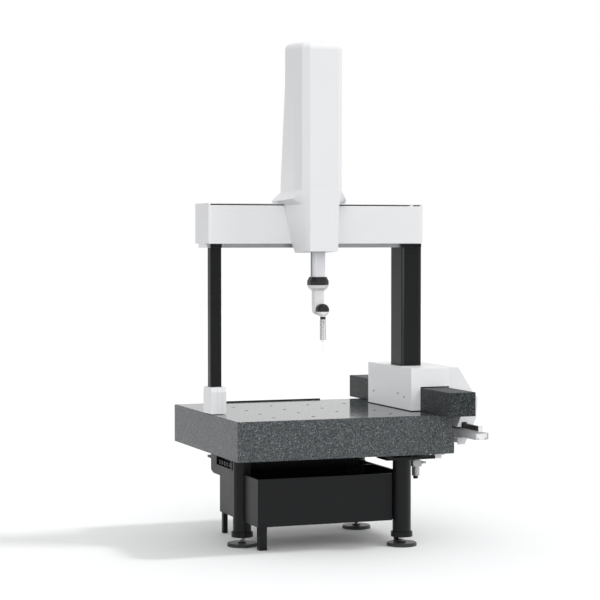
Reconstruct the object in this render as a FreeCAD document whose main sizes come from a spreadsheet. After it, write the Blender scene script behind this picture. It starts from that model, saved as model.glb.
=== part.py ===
import FreeCAD, Part
import math
import os
import re
import Sketcher

# Coordinate measuring machine with a moving bridge, in millimetres.
# X runs along the bridge, Y into the depth of the table, Z up from the floor.
# Places are counted from the table's left front corner on the floor, and the finished
# machine stands centred on the origin.

sizes = {
    # granite table and rail
    "table_width": 1104,
    "table_depth": 1012,
    "table_thickness": 188,
    "table_top": 642,
    "table_rebate": 12,
    "table_rebate_height": 92,
    "table_chamfer": 4,
    "insert_pitch": 200,
    "insert_first_x": 230,
    "insert_first_y": 145,
    "insert_outer_radius": 8,
    "insert_bore_radius": 3.4,
    "insert_length": 22,
    "rail_width": 140,
    "rail_height": 115,
    "rail_side_overhang": 71,
    "rail_front_overhang": 113,
    "rail_rear_overhang": 133,
    "rail_chamfer": 2,
    "running_gap": 0.3,
    # legs
    "leg_radius": 44.5,
    "leg_ring_radius": 52.5,
    "leg_ring_height": 24,
    "leg_clearance": 45,
    "leg_wall": 4,
    "leg_plate_thickness": 13,
    "leg_plate_size": 130,
    "leg_plate_drop": 18,
    "leg_spacer_radius": 46,
    "long_plate_left": 105,
    "long_plate_right": 148,
    "foot_radius": 73,
    "foot_height": 22,
    "foot_edge_height": 12,
    "foot_step_height": 4,
    "foot_hub_radius": 20,
    "stem_radius": 10,
    "stem_nut_radius": 17.3,
    "stem_nut_height": 12,
    "stem_engagement": 10,
    "left_leg_x": 154,
    "left_leg_y": 390,
    "right_leg_x": 888,
    "front_leg_y": 137,
    "rear_leg_y": 720,
    # cabinet under the table
    "tub_left": 147,
    "tub_width": 765,
    "tub_front": 139,
    "tub_depth": 577,
    "tub_bottom": 124,
    "tub_height": 228,
    "sheet": 3,
    "tub_rim": 14,
    "tub_leg_gap": 5,
    "post_size": 38,
    "post_inset": 36,
    "post_setback": 78,
    "slim_post_size": 24,
    "right_post_setback": 74,
    "rear_post_inset": 42,
    "rear_post_reach": 74,
    "housing_overlap": 186,
    "housing_depth": 331,
    "housing_drop": 47,
    "housing_slant": 13,
    "housing_gap_above": 8,
    "housing_corner": 41,
    "flange_drop": 59,
    "flange_thickness": 12,
    "flange_reach": 58,
    "bay_depth": 26,
    "bay_height": 88,
    "bay_length": 226,
    "bay_front_inset": 14,
    "socket_count": 5,
    "socket_radius": 11,
    "socket_rise": 16,
    "socket_length": 20,
    "socket_pitch": 40,
    "socket_first": 30,
    "vent_count": 9,
    "vent_pitch": 46,
    "vent_width": 30,
    "vent_height": 5,
    "vent_depth": 4,
    "vent_first": 160,
    "vent_high": 30,
    "vent_low": 50,
    "guard_left": 200,
    "guard_length": 600,
    "guard_thickness": 10,
    "guard_height": 60,
    "guard_rise": 6,
    # air service unit
    "air_x": 1006,
    "air_y": 236,
    "filter_radius": 19,
    "filter_bowl_height": 46,
    "filter_head_height": 30,
    "filter_head_size": 44,
    "air_bracket_thickness": 4,
    "air_drop": 50,
    "knob_radius": 12,
    "knob_height": 15,
    "knob_stem_radius": 5,
    "knob_fit": 0.05,
    "knob_play": 2,
    "pipe_radius": 5,
    "pipe_length": 120,
    "pipe_stub": 26,
    "pipe_nut_radius": 8.5,
    "pipe_nut_length": 15,
    # cable tray and Y drive
    "tray_gap": 108,
    "tray_width": 68,
    "tray_height": 33,
    "tray_bottom": 518,
    "tray_wall": 2,
    "tray_front": -42,
    "tray_length": 1092,
    "bracket_count": 3,
    "bracket_width": 40,
    "bracket_first": 130,
    "bracket_pitch": 360,
    "bracket_thickness": 5,
    "bracket_hold": 12,
    "profile_width": 18,
    "profile_height": 24,
    "profile_wall": 2,
    "profile_front": 34,
    "profile_length": 1076,
    "y_pulley_radius": 7,
    "y_pulley_width": 9,
    "y_pulley_inset": 11,
    "belt_thickness": 1.5,
    "y_belt_width": 8,
    "y_pin_radius": 3,
    "shaft_hole_gap": 1,
    "pin_fit": 0.05,
    "belt_gap": 0.1,
    "y_motor_radius": 20,
    "y_motor_length": 52,
    "scale_thickness": 1,
    "scale_height": 10,
    # bridge: carriage on the rail
    "carriage_start": 213,
    "carriage_length": 551,
    "cover_wall": 4,
    "cover_left_reach": 51,
    "cover_rise": 96,
    "cover_side_gap": 2,
    "cover_top_gap": 5,
    "cover_lift": 4,
    "seam_offset": 12.5,
    "cover_reach": 170,
    "shoulder_reach": 64,
    "slope_reach": 140,
    "slope_drop": 23,
    "vertex_drop": 57,
    "hook_side": 162,
    "hook_side_height": 600,
    "hook_reach": 99,
    "hook_bottom": 470,
    "hook_width": 38,
    "hook_plate_bottom": 560,
    "hook_plate_low": 58,
    "hook_plate_high": 88,
    "hook_plate_top": 636,
    "hook_gap": 6,
    "body_arm": 26,
    "body_end_gap": 12,
    "rail_pad_radius": 32,
    "rail_pad_thickness": 12,
    "rail_pad_inset": 85,
    "arm_thickness": 10,
    "arm_width": 60,
    "finger_thickness": 3,
    "finger_inset": 1,
    # bridge: left foot
    "left_foot_width": 75,
    "left_foot_start": 12,
    "left_foot_depth": 130,
    "left_foot_height": 131,
    "left_foot_bevel": 22,
    "left_foot_lift": 3,
    "foot_pad_radius": 27,
    "foot_pad_thickness": 11,
    "foot_pad_inset": 33,
    # bridge: columns and beam
    "left_column_x": 8,
    "left_column_width": 56,
    "left_column_depth": 50,
    "right_column_width": 107,
    "right_column_depth": 138,
    "right_column_shift": 17.5,
    "right_column_y": 197,
    "column_wall": 5,
    "column_corner": 5,
    "column_gap": 1.5,
    "beam_bottom": 1447,
    "beam_overhang_left": 18,
    "beam_right_reach": 13,
    "beam_front_setback": 167,
    "beam_depth": 212,
    "beam_cover_lift": 20,
    "beam_cover_top": 1662,
    "beam_slot": 6,
    "beam_cover_wall": 4,
    "beam_lip": 16,
    "end_cap_thickness": 10,
    "extrusion_depth": 110,
    "extrusion_height": 178,
    "extrusion_inset": 50,
    "extrusion_wall": 6,
    "x_pulley_radius": 16,
    "x_pulley_width": 9,
    "x_pulley_inset": 44,
    "x_belt_width": 8,
    "x_pin_radius": 4,
    "x_belt_height": 50,
    "x_motor_radius": 30,
    "x_motor_length": 84,
    "x_belt_offset": 6,
    "pin_end": 1,
    # X carriage with head and tower
    "probe_x": 505.7,
    "head_depth": 185,
    "head_gap": 2,
    "head_wall": 4,
    "head_bottom": 1430,
    "head_front_half": 72.5,
    "head_corner_half": 102.5,
    "head_chamfer": 30,
    "head_drop": 8,
    "low_corner_half": 79,
    "low_flare_half": 80,
    "low_sweep_half": 81,
    "low_rear_half": 82,
    "bevel_height": 37,
    "bevel_share": 0.29,
    "under_height": 225,
    "under_corner_half": 90,
    "under_flare_half": 103,
    "under_sweep_half": 125,
    "under_rear_half": 136,
    "flare_depth": 67,
    "sweep_depth": 145,
    "crease_corner": 292,
    "crease_flare": 254,
    "crease_sweep": 246,
    "crease_rear": 244,
    "crease_tip": 246,
    "crease_flare_half": 137,
    "crease_sweep_half": 172,
    "crease_rear_half": 184,
    "crease_tip_half": 191,
    "crease_end_half": 176,
    "shoulder_rear_half": 130,
    "wing_gap": 2,
    "wing_edge": 3,
    "wing_start": 22,
    "wing_depth": 72,
    "crease_inset_share": 3,
    "ledge_front": 17,
    "ledge_rear": 28,
    "head_top": 1745,
    "tower_flare_top": 2250,
    "tower_rear_half": 106,
    "tower_edge": 2400,
    "roof_rear_rise": 17,
    "roof_rise": 31,
    "roof_inset": 38,
    "roof_steps": 4,
    "ram_hole_gap": 4,
    "plate_thickness": 20,
    "plate_half": 74,
    "plate_top": 1700,
    "plate_gap": 8,
    "saddle_half": 70,
    "saddle_leg": 13,
    "web_thickness": 3,
    "web_lift": 1.5,
    "inner_leg_gap": 3,
    "belt_bite": 5,
    "x_pad_radius": 20,
    "x_pad_spread": 46,
    "x_pad_drop": 32,
    "clamp_width": 40,
    # ram and probe head
    "ram_size": 55,
    "ram_wall": 6,
    "ram_axis_depth": 85,
    "ram_bottom": 1306,
    "ram_length": 930,
    "guide_gap": 14,
    "guide_wall": 9,
    "guide_bottom": 1452,
    "guide_height": 300,
    "guide_pad_size": 30,
    "guide_pad_inset": 30,
    "motor_mount_height": 90,
    "motor_mount_width": 32,
    "motor_mount_thickness": 8,
    "motor_side_gap": 3,
    "roller_radius": 12,
    "roller_width": 16,
    "roller_rise": 46,
    "roller_pin_radius": 4,
    "z_motor_radius": 21,
    "z_motor_length": 50,
    "stator_half": 47,
    "stator_chamfer": 24,
    "stator_top_half": 36,
    "stator_height": 39,
    "stator_slope": 20,
    "axis_gap": 0.5,
    "bowl_height": 27,
    "bowl_shoulder": 15,
    "bowl_shoulder_half": 41,
    "arm_half": 25,
    "arm_round": 9,
    "wrist_drop": 159,
    "wrist_offset": 67,
    "disc_neck_radius": 22,
    "disc_neck": 20,
    "disc_radius": 30,
    "disc_split": 8,
    "disc_dome": 8,
    "disc_front": 15,
    "shell_depth": 26,
    "ring_radius": 13.5,
    "ring_height": 13,
    "ring_drop": 31.5,
    "sensor_radius": 14,
    "sensor_length": 102,
    "sensor_nose": 7,
    "sensor_wall": 3,
    "stylus_radius": 1.1,
    "stylus_length": 54,
    "stylus_root": 6,
    "stylus_root_taper": 2,
    "tip_radius": 2.5,
}

# places worked out from the sizes, each by the ones before it
places = {
    "table_bottom": "table_top - table_thickness",
    "upper_right": "table_width - table_rebate",
    "rail_right": "upper_right + rail_side_overhang",
    "rail_left": "rail_right - rail_width",
    "rail_top": "table_top + rail_height",
    "slab_left": "-(rail_right + cover_reach - beam_overhang_left) / 2",
    "slab_front": "-(table_depth + rail_rear_overhang - rail_front_overhang) / 2",
    "cover_left": "rail_left - cover_left_reach",
    "cover_top": "rail_top + cover_rise",
    "seam": "rail_right + seam_offset",
    "body_top": "cover_top - cover_wall - running_gap",
    "beam_front": "carriage_start + beam_front_setback",
    "beam_rear": "beam_front + beam_depth",
    "beam_left": "-beam_overhang_left",
    "beam_right": "upper_right + beam_right_reach",
    "extrusion_front": "beam_front + extrusion_inset",
    "extrusion_rear": "extrusion_front + extrusion_depth",
    "extrusion_top": "beam_bottom + extrusion_height",
    "beam_cover_bottom": "beam_bottom + beam_cover_lift",
    "slot_bottom": "beam_cover_top - beam_cover_wall - beam_slot",
    "right_column_left": "rail_left - right_column_shift",
    "right_column_front": "carriage_start + right_column_y",
    "left_foot_front": "beam_front + left_foot_start",
    "foot_block_top": "table_top + left_foot_height - left_foot_bevel - cover_wall",
    "inner_leg_rear": "beam_rear - beam_cover_wall - inner_leg_gap",
    "leg_plate_top": "table_bottom - leg_plate_drop",
    "air_head_bottom": "table_bottom - air_bracket_thickness - air_drop - filter_head_height",
    "roof_slope": "roof_rear_rise / (head_depth + wing_depth)",
    "head_front": "beam_front - head_depth",
    "head_rear": "beam_front - head_gap",
    "ram_y": "head_front + ram_axis_depth",
    "wing_bottom": "beam_cover_top + wing_gap",
    "plate_rear": "beam_front - plate_gap",
    "plate_front": "plate_rear - plate_thickness",
    "plate_share": "(plate_front - head_front - head_chamfer) / (head_rear - head_front - head_chamfer)",
    "plate_bottom": "head_bottom + head_wall + running_gap - head_drop * plate_share",
    "web_bottom": "slot_bottom + web_lift",
    "ram_half": "ram_size / 2",
    "guide_half": "ram_half + guide_gap + guide_wall",
    "stator_bottom": "ram_bottom - stator_height",
    "arm_top": "stator_bottom - axis_gap",
    "wrist_z": "ram_bottom - wrist_drop",
    "disc_back": "arm_half + axis_gap",
    "ring_top": "wrist_z - ring_drop",
    "sensor_top": "ring_top - ring_height",
    "sensor_bottom": "sensor_top - sensor_length",
    "tip_z": "sensor_bottom - stylus_length",
    "tray_left": "upper_right + tray_gap",
    "tray_right": "tray_left + tray_width",
    "tray_top": "tray_bottom + tray_height",
    "profile_left": "tray_right - profile_width",
    "profile_middle": "tray_top + profile_height / 2",
    "profile_rear": "profile_front + profile_length",
    "y_idler_y": "profile_front + y_pulley_inset",
    "y_drive_y": "profile_rear - y_pulley_inset",
    "y_belt_left": "profile_left + profile_wall + 2 * y_pin_radius / 3",
    "x_idler_x": "beam_left + x_pulley_inset",
    "x_drive_x": "beam_right - x_pulley_inset",
    "x_belt_z": "beam_bottom + x_belt_height",
    "x_belt_front": "extrusion_rear + x_belt_offset",
    "tub_right": "tub_left + tub_width",
    "tub_rear": "tub_front + tub_depth",
    "tub_top": "tub_bottom + tub_height",
    "housing_front": "tub_rear - housing_overlap",
    "housing_rear": "housing_front + housing_depth",
    "housing_right": "right_leg_x - leg_plate_size / 2",
    "housing_bottom": "tub_top - housing_drop",
    "housing_top": "table_bottom - housing_gap_above",
    "roller_y": "ram_y + ram_half + running_gap + roller_radius",
    "roller_z": "guide_bottom + guide_height + roller_rise",
}

document = FreeCAD.newDocument("MeasuringMachine")
sheet = document.addObject("Spreadsheet::Sheet", "Sizes")
for row, (alias, value) in enumerate(sizes.items(), start=1):
    sheet.set(f"A{row}", alias)
    sheet.set(f"B{row}", str(value))
    sheet.setAlias(f"B{row}", alias)
document.recompute()

owners = {alias: "Sizes." + alias for alias in sizes}
place_list = document.addObject("App::VarSet", "Places")


def formula(text):
    """Write a formula with each plain word turned into its cell or place."""
    return re.sub(r"[a-z][a-z_0-9]*", lambda word: owners.get(word.group(), word.group()), str(text))


for alias, text in places.items():
    place_list.addProperty("App::PropertyFloat", alias)
    place_list.setExpression(alias, formula(text))
    owners[alias] = "Places." + alias
document.recompute()


def put(thing, x="0", y="0", z="0"):
    """Place an object by formulas counted from the table's left front corner."""
    thing.setExpression("Placement.Base.x", formula(f"slab_left + {x}"))
    thing.setExpression("Placement.Base.y", formula(f"slab_front + {y}"))
    thing.setExpression("Placement.Base.z", formula(z))


def new_body(label, x="0", y="0", z="0", several=False):
    body = document.addObject("PartDesign::Body", label)
    body.Label = label
    body.AllowCompound = several
    put(body, x, y, z)
    return body


# how near two values count as the same, in millimetres, and how straight an edge must be
same = 1e-6
straight_share = 0.999

# the way that a sketch plane's normal points along its own axis of the machine
normal_signs = {"XY": 1, "XZ": -1, "YZ": 1}


def new_sketch(body, plane, level="0"):
    """Add a sketch on an origin plane of the body, moved along that plane's axis to a level."""
    sketch = body.newObject("Sketcher::SketchObject", body.Label + "_sketch")
    origin_plane = next(item for item in body.Origin.OriginFeatures if item.Role == plane + "_Plane")
    sketch.AttachmentSupport = (origin_plane, [""])
    sketch.MapMode = "FlatFace"
    sign = "" if normal_signs[plane] > 0 else "-"
    sketch.setExpression("AttachmentOffset.Base.z", formula(f"{sign}({level})"))
    return sketch


def value_of(text):
    """Give the number that a formula has now, as a start for a constraint."""
    known = {alias: float(sheet.get(alias)) for alias in sizes}
    known.update({alias: getattr(place_list, alias) for alias in places})
    plain = re.sub(r"[a-z][a-z_0-9]*", lambda word: repr(known[word.group()]), str(text))
    return float(FreeCAD.Units.Quantity(plain).Value)


def fix(sketch, kind, *place_and_text):
    *where, text = place_and_text
    index = sketch.addConstraint(Sketcher.Constraint(kind, *where, value_of(text)))
    sketch.setExpression(f"Constraints[{index}]", formula(text))


def draw_polygon(sketch, points):
    """Draw a closed outline whose corners are held by formulas."""
    first = sketch.GeometryCount
    corners = [FreeCAD.Vector(value_of(x), value_of(y), 0) for x, y in points]
    count = len(points)
    for number, corner in enumerate(corners):
        sketch.addGeometry(Part.LineSegment(corner, corners[(number + 1) % count]))
    for number in range(count):
        sketch.addConstraint(Sketcher.Constraint("Coincident", first + number, 2, first + (number + 1) % count, 1))
    for number, (x, y) in enumerate(points):
        fix(sketch, "DistanceX", -1, 1, first + number, 1, x)
        fix(sketch, "DistanceY", -1, 1, first + number, 1, y)


def draw_rectangle(sketch, left, low, right, high):
    draw_polygon(sketch, [(left, low), (right, low), (right, high), (left, high)])


def draw_circle(sketch, x, y, radius):
    centre = FreeCAD.Vector(value_of(x), value_of(y), 0)
    index = sketch.addGeometry(Part.Circle(centre, FreeCAD.Vector(0, 0, 1), value_of(radius)))
    fix(sketch, "DistanceX", -1, 1, index, 3, x)
    fix(sketch, "DistanceY", -1, 1, index, 3, y)
    fix(sketch, "Radius", index, radius)


def pad(body, sketch, length):
    """Raise a sketch along the positive axis across its plane."""
    feature = body.newObject("PartDesign::Pad", body.Label + "_pad")
    feature.Profile = sketch
    feature.setExpression("Length", formula(length))
    feature.Reversed = sketch.AttachmentSupport[0][0].Role == "XZ_Plane"
    return feature


def cut(body, sketch, length):
    """Cut a sketch into the body along the positive axis across its plane."""
    feature = body.newObject("PartDesign::Pocket", body.Label + "_cut")
    feature.Profile = sketch
    feature.setExpression("Length", formula(length))
    feature.Reversed = sketch.AttachmentSupport[0][0].Role != "XZ_Plane"
    return feature


def loft(body, sketches, subtractive=False):
    kind = "PartDesign::SubtractiveLoft" if subtractive else "PartDesign::AdditiveLoft"
    feature = body.newObject(kind, body.Label + "_loft")
    feature.Profile = sketches[0]
    feature.Sections = sketches[1:]
    feature.Ruled = True
    return feature


def revolve(body, sketch, axis="Z"):
    """Turn a sketch once round an axis of the body."""
    feature = body.newObject("PartDesign::Revolution", body.Label + "_turn")
    feature.Profile = sketch
    line = next(item for item in body.Origin.OriginFeatures if item.Role == axis + "_Axis")
    feature.ReferenceAxis = (line, [""])
    feature.Angle = 360
    return feature


def dress(body, kind, feature, chosen, size):
    """Round or bevel the edges of a feature that a test picks."""
    document.recompute()
    names = [f"Edge{number}" for number, edge in enumerate(feature.Shape.Edges, start=1) if chosen(edge)]
    result = body.newObject("PartDesign::" + kind, body.Label + "_" + kind.lower())
    result.Base = (feature, names)
    result.setExpression("Radius" if kind == "Fillet" else "Size", formula(size))
    return result


def hollow(body, feature, chosen, wall):
    """Shell a feature inwards, open at the faces that a test picks."""
    document.recompute()
    names = [f"Face{number}" for number, face in enumerate(feature.Shape.Faces, start=1) if chosen(face)]
    result = body.newObject("PartDesign::Thickness", body.Label + "_shell")
    result.Base = (feature, names)
    result.setExpression("Value", formula(wall))
    result.Reversed = True
    result.Join = 1
    return result


def direction(edge):
    start, end = edge.Vertexes[0].Point, edge.Vertexes[-1].Point
    return (end - start).normalize() if start.distanceToPoint(end) > same else FreeCAD.Vector(0, 0, 0)


def runs_along(axis):
    """Make a test for straight edges parallel to an axis."""
    index = "XYZ".index(axis)
    return lambda edge: abs(direction(edge)[index]) > straight_share


def block(label, x, y, z, length, width, height):
    """Make a plain rectangular piece."""
    piece = document.addObject("Part::Box", label)
    piece.Label = label
    put(piece, x, y, z)
    piece.setExpression("Length", formula(length))
    piece.setExpression("Width", formula(width))
    piece.setExpression("Height", formula(height))
    return piece


# GRANITE
def granite_table():
    body = new_body("granite_table")
    outline = new_sketch(body, "XY", "table_bottom")
    draw_rectangle(outline, "0", "0", "table_width", "table_depth")
    slab = pad(body, outline, "table_thickness")
    step = new_sketch(body, "XZ", "0")
    draw_rectangle(step, "upper_right", "table_top - table_rebate_height", "table_width", "table_top")
    cut(body, step, "table_depth")
    holes = new_sketch(body, "XY", "table_top - insert_length")
    for x, y in insert_centres():
        draw_circle(holes, x, y, "insert_outer_radius")
    drilled = cut(body, holes, "insert_length")
    top = sizes["table_top"]

    def on_rim(edge):
        points = [vertex.Point for vertex in edge.Vertexes]
        straight = edge.Curve.TypeId == "Part::GeomLine"
        return straight and all(abs(point.z - top) < same for point in points)

    dress(body, "Chamfer", drilled, on_rim, "table_chamfer")


def insert_centres():
    """Give the grid of threaded bushes in the table's top."""
    columns = range(int((value_of("cover_left") - sizes["insert_first_x"]) // sizes["insert_pitch"]) + 1)
    rows = range(int((sizes["table_depth"] - 2 * sizes["insert_first_y"]) // sizes["insert_pitch"]) + 1)
    return [
        (f"insert_first_x + {column} * insert_pitch", f"insert_first_y + {row_number} * insert_pitch")
        for column in columns
        for row_number in rows
    ]


def table_inserts():
    body = new_body("table_inserts", several=True)
    rings = new_sketch(body, "XY", "table_top - insert_length")
    for x, y in insert_centres():
        draw_circle(rings, x, y, "insert_outer_radius")
        draw_circle(rings, x, y, "insert_bore_radius")
    pad(body, rings, "insert_length - running_gap")


def guide_rail():
    body = new_body("guide_rail")
    section = new_sketch(body, "XZ", "-rail_front_overhang")
    draw_rectangle(section, "rail_left", "table_top", "rail_right", "rail_top")
    bar = pad(body, section, "rail_front_overhang + table_depth + rail_rear_overhang")
    dress(body, "Chamfer", bar, runs_along("Y"), "rail_chamfer")


# LEGS AND FEET
def leg(label, x, y, plate_left, plate_right):
    """Make a leg with a ring at its foot, and a plate and a spacer that carry the table."""
    body = new_body(label, x, y)
    half = new_sketch(body, "XZ")
    plate_bottom = "leg_plate_top - leg_plate_thickness"
    draw_polygon(half, [
        ("stem_radius + running_gap", "leg_clearance"),
        ("leg_ring_radius", "leg_clearance"),
        ("leg_ring_radius", "leg_clearance + leg_ring_height"),
        ("leg_radius", "leg_clearance + leg_ring_height"),
        ("leg_radius", plate_bottom),
        ("leg_radius - leg_wall", plate_bottom),
        ("leg_radius - leg_wall", "leg_clearance + leg_ring_height"),
        ("stem_radius + running_gap", "leg_clearance + leg_ring_height"),
    ])
    revolve(body, half)
    plate = new_sketch(body, "XY", plate_bottom)
    draw_rectangle(plate, f"-({plate_left})", "-leg_plate_size / 2", plate_right, "leg_plate_size / 2")
    pad(body, plate, "leg_plate_thickness")
    spacer = new_sketch(body, "XY", "leg_plate_top")
    draw_circle(spacer, "0", "0", "leg_spacer_radius")
    pad(body, spacer, "leg_plate_drop")


leg_places = {
    "leg_left": ("left_leg_x", "left_leg_y"),
    "leg_front_right": ("right_leg_x", "front_leg_y"),
    "leg_rear_right": ("right_leg_x", "rear_leg_y"),
}


def legs():
    for label, (x, y) in leg_places.items():
        if label == "leg_front_right":
            leg(label, x, y, "long_plate_left", "long_plate_right")
        else:
            leg(label, x, y, "leg_plate_size / 2", "leg_plate_size / 2")


def foot_stems():
    body = new_body("foot_stems", several=True)
    rods = new_sketch(body, "XY", "foot_height - stem_engagement")
    for x, y in leg_places.values():
        draw_circle(rods, x, y, "stem_radius")
    pad(body, rods, "leg_clearance + leg_ring_height + stem_engagement - foot_height")
    nuts = new_sketch(body, "XY", "leg_clearance - stem_nut_height - running_gap")
    for x, y in leg_places.values():
        corners = [math.radians(60 * number) for number in range(6)]
        draw_polygon(nuts, [
            (f"{x} + stem_nut_radius * {math.cos(angle):.6f}", f"{y} + stem_nut_radius * {math.sin(angle):.6f}")
            for angle in corners
        ])
    pad(body, nuts, "stem_nut_height")


def foot_pads():
    body = new_body("foot_pads", several=True)
    levels = {
        "0": ("foot_radius", "foot_edge_height"),
        "foot_edge_height": ("foot_radius - foot_step_height", "foot_step_height"),
        "foot_edge_height + foot_step_height": (
            "foot_hub_radius", "foot_height - foot_edge_height - foot_step_height"),
    }
    for level, (radius, height) in levels.items():
        discs = new_sketch(body, "XY", level)
        for x, y in leg_places.values():
            draw_circle(discs, x, y, radius)
        pad(body, discs, height)
    sockets = new_sketch(body, "XY", "foot_height - stem_engagement")
    for x, y in leg_places.values():
        draw_circle(sockets, x, y, "stem_radius + running_gap")
    cut(body, sockets, "stem_engagement")


# CABINET UNDER THE TABLE
def cabinet_tub():
    """Make the open tray of sheet metal, cut out round the three legs that stand in its edges."""
    body = new_body("cabinet_tub")
    floor = new_sketch(body, "XY", "tub_bottom")
    draw_rectangle(floor, "tub_left", "tub_front", "tub_right", "tub_rear")
    box = pad(body, floor, "tub_height")
    top = value_of("tub_top")
    hollow(body, box, lambda face: abs(face.CenterOfMass.z - top) < same, "sheet")
    rim = new_sketch(body, "XY", "tub_top - sheet")
    draw_rectangle(rim, "tub_left", "tub_front", "tub_right", "housing_front - running_gap")
    draw_rectangle(rim, "tub_left + tub_rim", "tub_front + tub_rim", "tub_right - tub_rim",
                   "housing_front - running_gap - tub_rim")
    pad(body, rim, "sheet")
    passages = new_sketch(body, "XY", "tub_bottom")
    for x, y in leg_places.values():
        draw_circle(passages, x, y, "leg_radius + tub_leg_gap")
    cut(body, passages, "tub_height")


def cabinet_posts():
    """Make the posts under the tub's front and right side and the one under the housing."""
    body = new_body("cabinet_posts", several=True)
    posts = (
        ("tub_left + post_inset", "tub_front + post_setback", "post_size", "tub_bottom"),
        ("tub_right - slim_post_size", "tub_front + right_post_setback", "slim_post_size", "tub_bottom"),
        ("tub_left + rear_post_inset", "tub_rear + rear_post_reach", "slim_post_size", "housing_bottom"),
    )
    for left, front, size, height in posts:
        plan = new_sketch(body, "XY")
        draw_rectangle(plan, left, front, f"{left} + {size}", f"{front} + {size}")
        pad(body, plan, height)


def controller_housing():
    """Make the housing over the tub's rear, with a connector bay, vents and a flange to the rear."""
    body = new_body("controller_housing")
    side = new_sketch(body, "YZ", "tub_left")
    draw_polygon(side, [
        ("housing_front", "tub_top"),
        ("tub_rear + running_gap", "tub_top"),
        ("tub_rear + running_gap", "housing_bottom"),
        ("housing_rear - housing_corner", "housing_bottom"),
        ("housing_rear", "housing_bottom + housing_slant"),
        ("housing_rear", "housing_top"),
        ("housing_front", "housing_top"),
    ])
    pad(body, side, "housing_right - tub_left")
    flange = new_sketch(body, "YZ", "tub_left")
    draw_rectangle(flange, "housing_rear", "housing_top - flange_drop - flange_thickness",
                   "housing_rear + flange_reach", "housing_top - flange_drop")
    pad(body, flange, "housing_right - tub_left")
    bay = new_sketch(body, "YZ", "tub_left")
    draw_rectangle(bay, "housing_front + bay_front_inset", "housing_top - bay_height - sheet",
                   "housing_front + bay_front_inset + bay_length", "housing_top - sheet")
    cut(body, bay, "bay_depth")
    vents = new_sketch(body, "XZ", "housing_rear - vent_depth")
    for number in range(sizes["vent_count"]):
        left = f"tub_left + vent_first + {number} * vent_pitch"
        for level in ("housing_top - vent_high", "housing_top - vent_low"):
            draw_rectangle(vents, left, level, f"{left} + vent_width", f"{level} + vent_height")
    cut(body, vents, "vent_depth")


def connector_sockets():
    body = new_body("connector_sockets", several=True)
    level = "housing_top - sheet - bay_height + socket_rise"
    sockets = new_sketch(body, "YZ", "tub_left + bay_depth - socket_length")
    for number in range(sizes["socket_count"]):
        along = f"housing_front + bay_front_inset + socket_first + {number} * socket_pitch"
        draw_circle(sockets, along, level, "socket_radius")
        draw_circle(sockets, along, level, "socket_radius / 2")
    pad(body, sockets, "socket_length")


def rear_guard():
    block("rear_guard", "guard_left", "table_depth", "table_top + guard_rise - guard_height",
          "guard_length", "guard_thickness", "guard_height")


# AIR SERVICE UNIT
def air_filter():
    body = new_body("air_filter", "air_x", "air_y")
    top = "table_bottom - air_bracket_thickness"
    bracket = new_sketch(body, "XY", top)
    draw_rectangle(bracket, "-filter_head_size", "-filter_head_size / 2", "filter_head_size", "filter_head_size / 2")
    pad(body, bracket, "air_bracket_thickness")
    neck = new_sketch(body, "XY", f"{top} - air_drop")
    draw_rectangle(neck, "-filter_head_size / 4", "-filter_head_size / 4", "filter_head_size / 4",
                   "filter_head_size / 4")
    pad(body, neck, "air_drop")
    head = new_sketch(body, "XY", "air_head_bottom")
    draw_rectangle(head, "-filter_head_size / 2", "-filter_head_size / 2", "filter_head_size / 2",
                   "filter_head_size / 2")
    pad(body, head, "filter_head_height")
    bowl = new_sketch(body, "XY", "air_head_bottom - filter_bowl_height")
    draw_circle(bowl, "0", "0", "filter_radius")
    pad(body, bowl, "filter_bowl_height")
    bore = new_sketch(body, "XY", "air_head_bottom - filter_bowl_height")
    draw_circle(bore, "0", "0", "knob_stem_radius + knob_fit")
    cut(body, bore, "knob_height")


def regulator_knob():
    body = new_body("regulator_knob", "air_x", "air_y", "air_head_bottom - filter_bowl_height")
    grip = new_sketch(body, "XY", "-knob_height - axis_gap")
    draw_circle(grip, "0", "0", "knob_radius")
    disc = pad(body, grip, "knob_height")
    dress(body, "Chamfer", disc, lambda edge: edge.Curve.TypeId == "Part::GeomCircle", "knob_height / 10")
    stem = new_sketch(body, "XY", "-axis_gap")
    draw_circle(stem, "0", "0", "knob_stem_radius")
    pad(body, stem, "knob_height - knob_play")


def air_fittings():
    body = new_body("air_fittings", "air_x", "air_y", several=True)
    level = "air_head_bottom + filter_head_height / 2"
    for side, length in (("filter_head_size / 2", "pipe_length"),
                         ("-filter_head_size / 2 - pipe_stub", "pipe_stub")):
        pipe = new_sketch(body, "YZ", side)
        draw_circle(pipe, "0", level, "pipe_radius")
        pad(body, pipe, length)
    nut = new_sketch(body, "YZ", "filter_head_size / 2")
    draw_circle(nut, "0", level, "pipe_nut_radius")
    pad(body, nut, "pipe_nut_length")


# CABLE TRAY AND Y DRIVE
def tray_brackets():
    body = new_body("tray_brackets", several=True)
    for number in range(sizes["bracket_count"]):
        start = f"bracket_first + {number} * bracket_pitch"
        side = new_sketch(body, "XZ", start)
        draw_polygon(side, [
            ("table_width", "tray_bottom - bracket_width"),
            ("table_width + bracket_thickness", "tray_bottom - bracket_width"),
            ("table_width + bracket_thickness", "tray_bottom - bracket_thickness"),
            ("tray_left + bracket_hold", "tray_bottom - bracket_thickness"),
            ("tray_left + bracket_hold", "tray_bottom"),
            ("table_width", "tray_bottom"),
        ])
        pad(body, side, "bracket_width")


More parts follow.
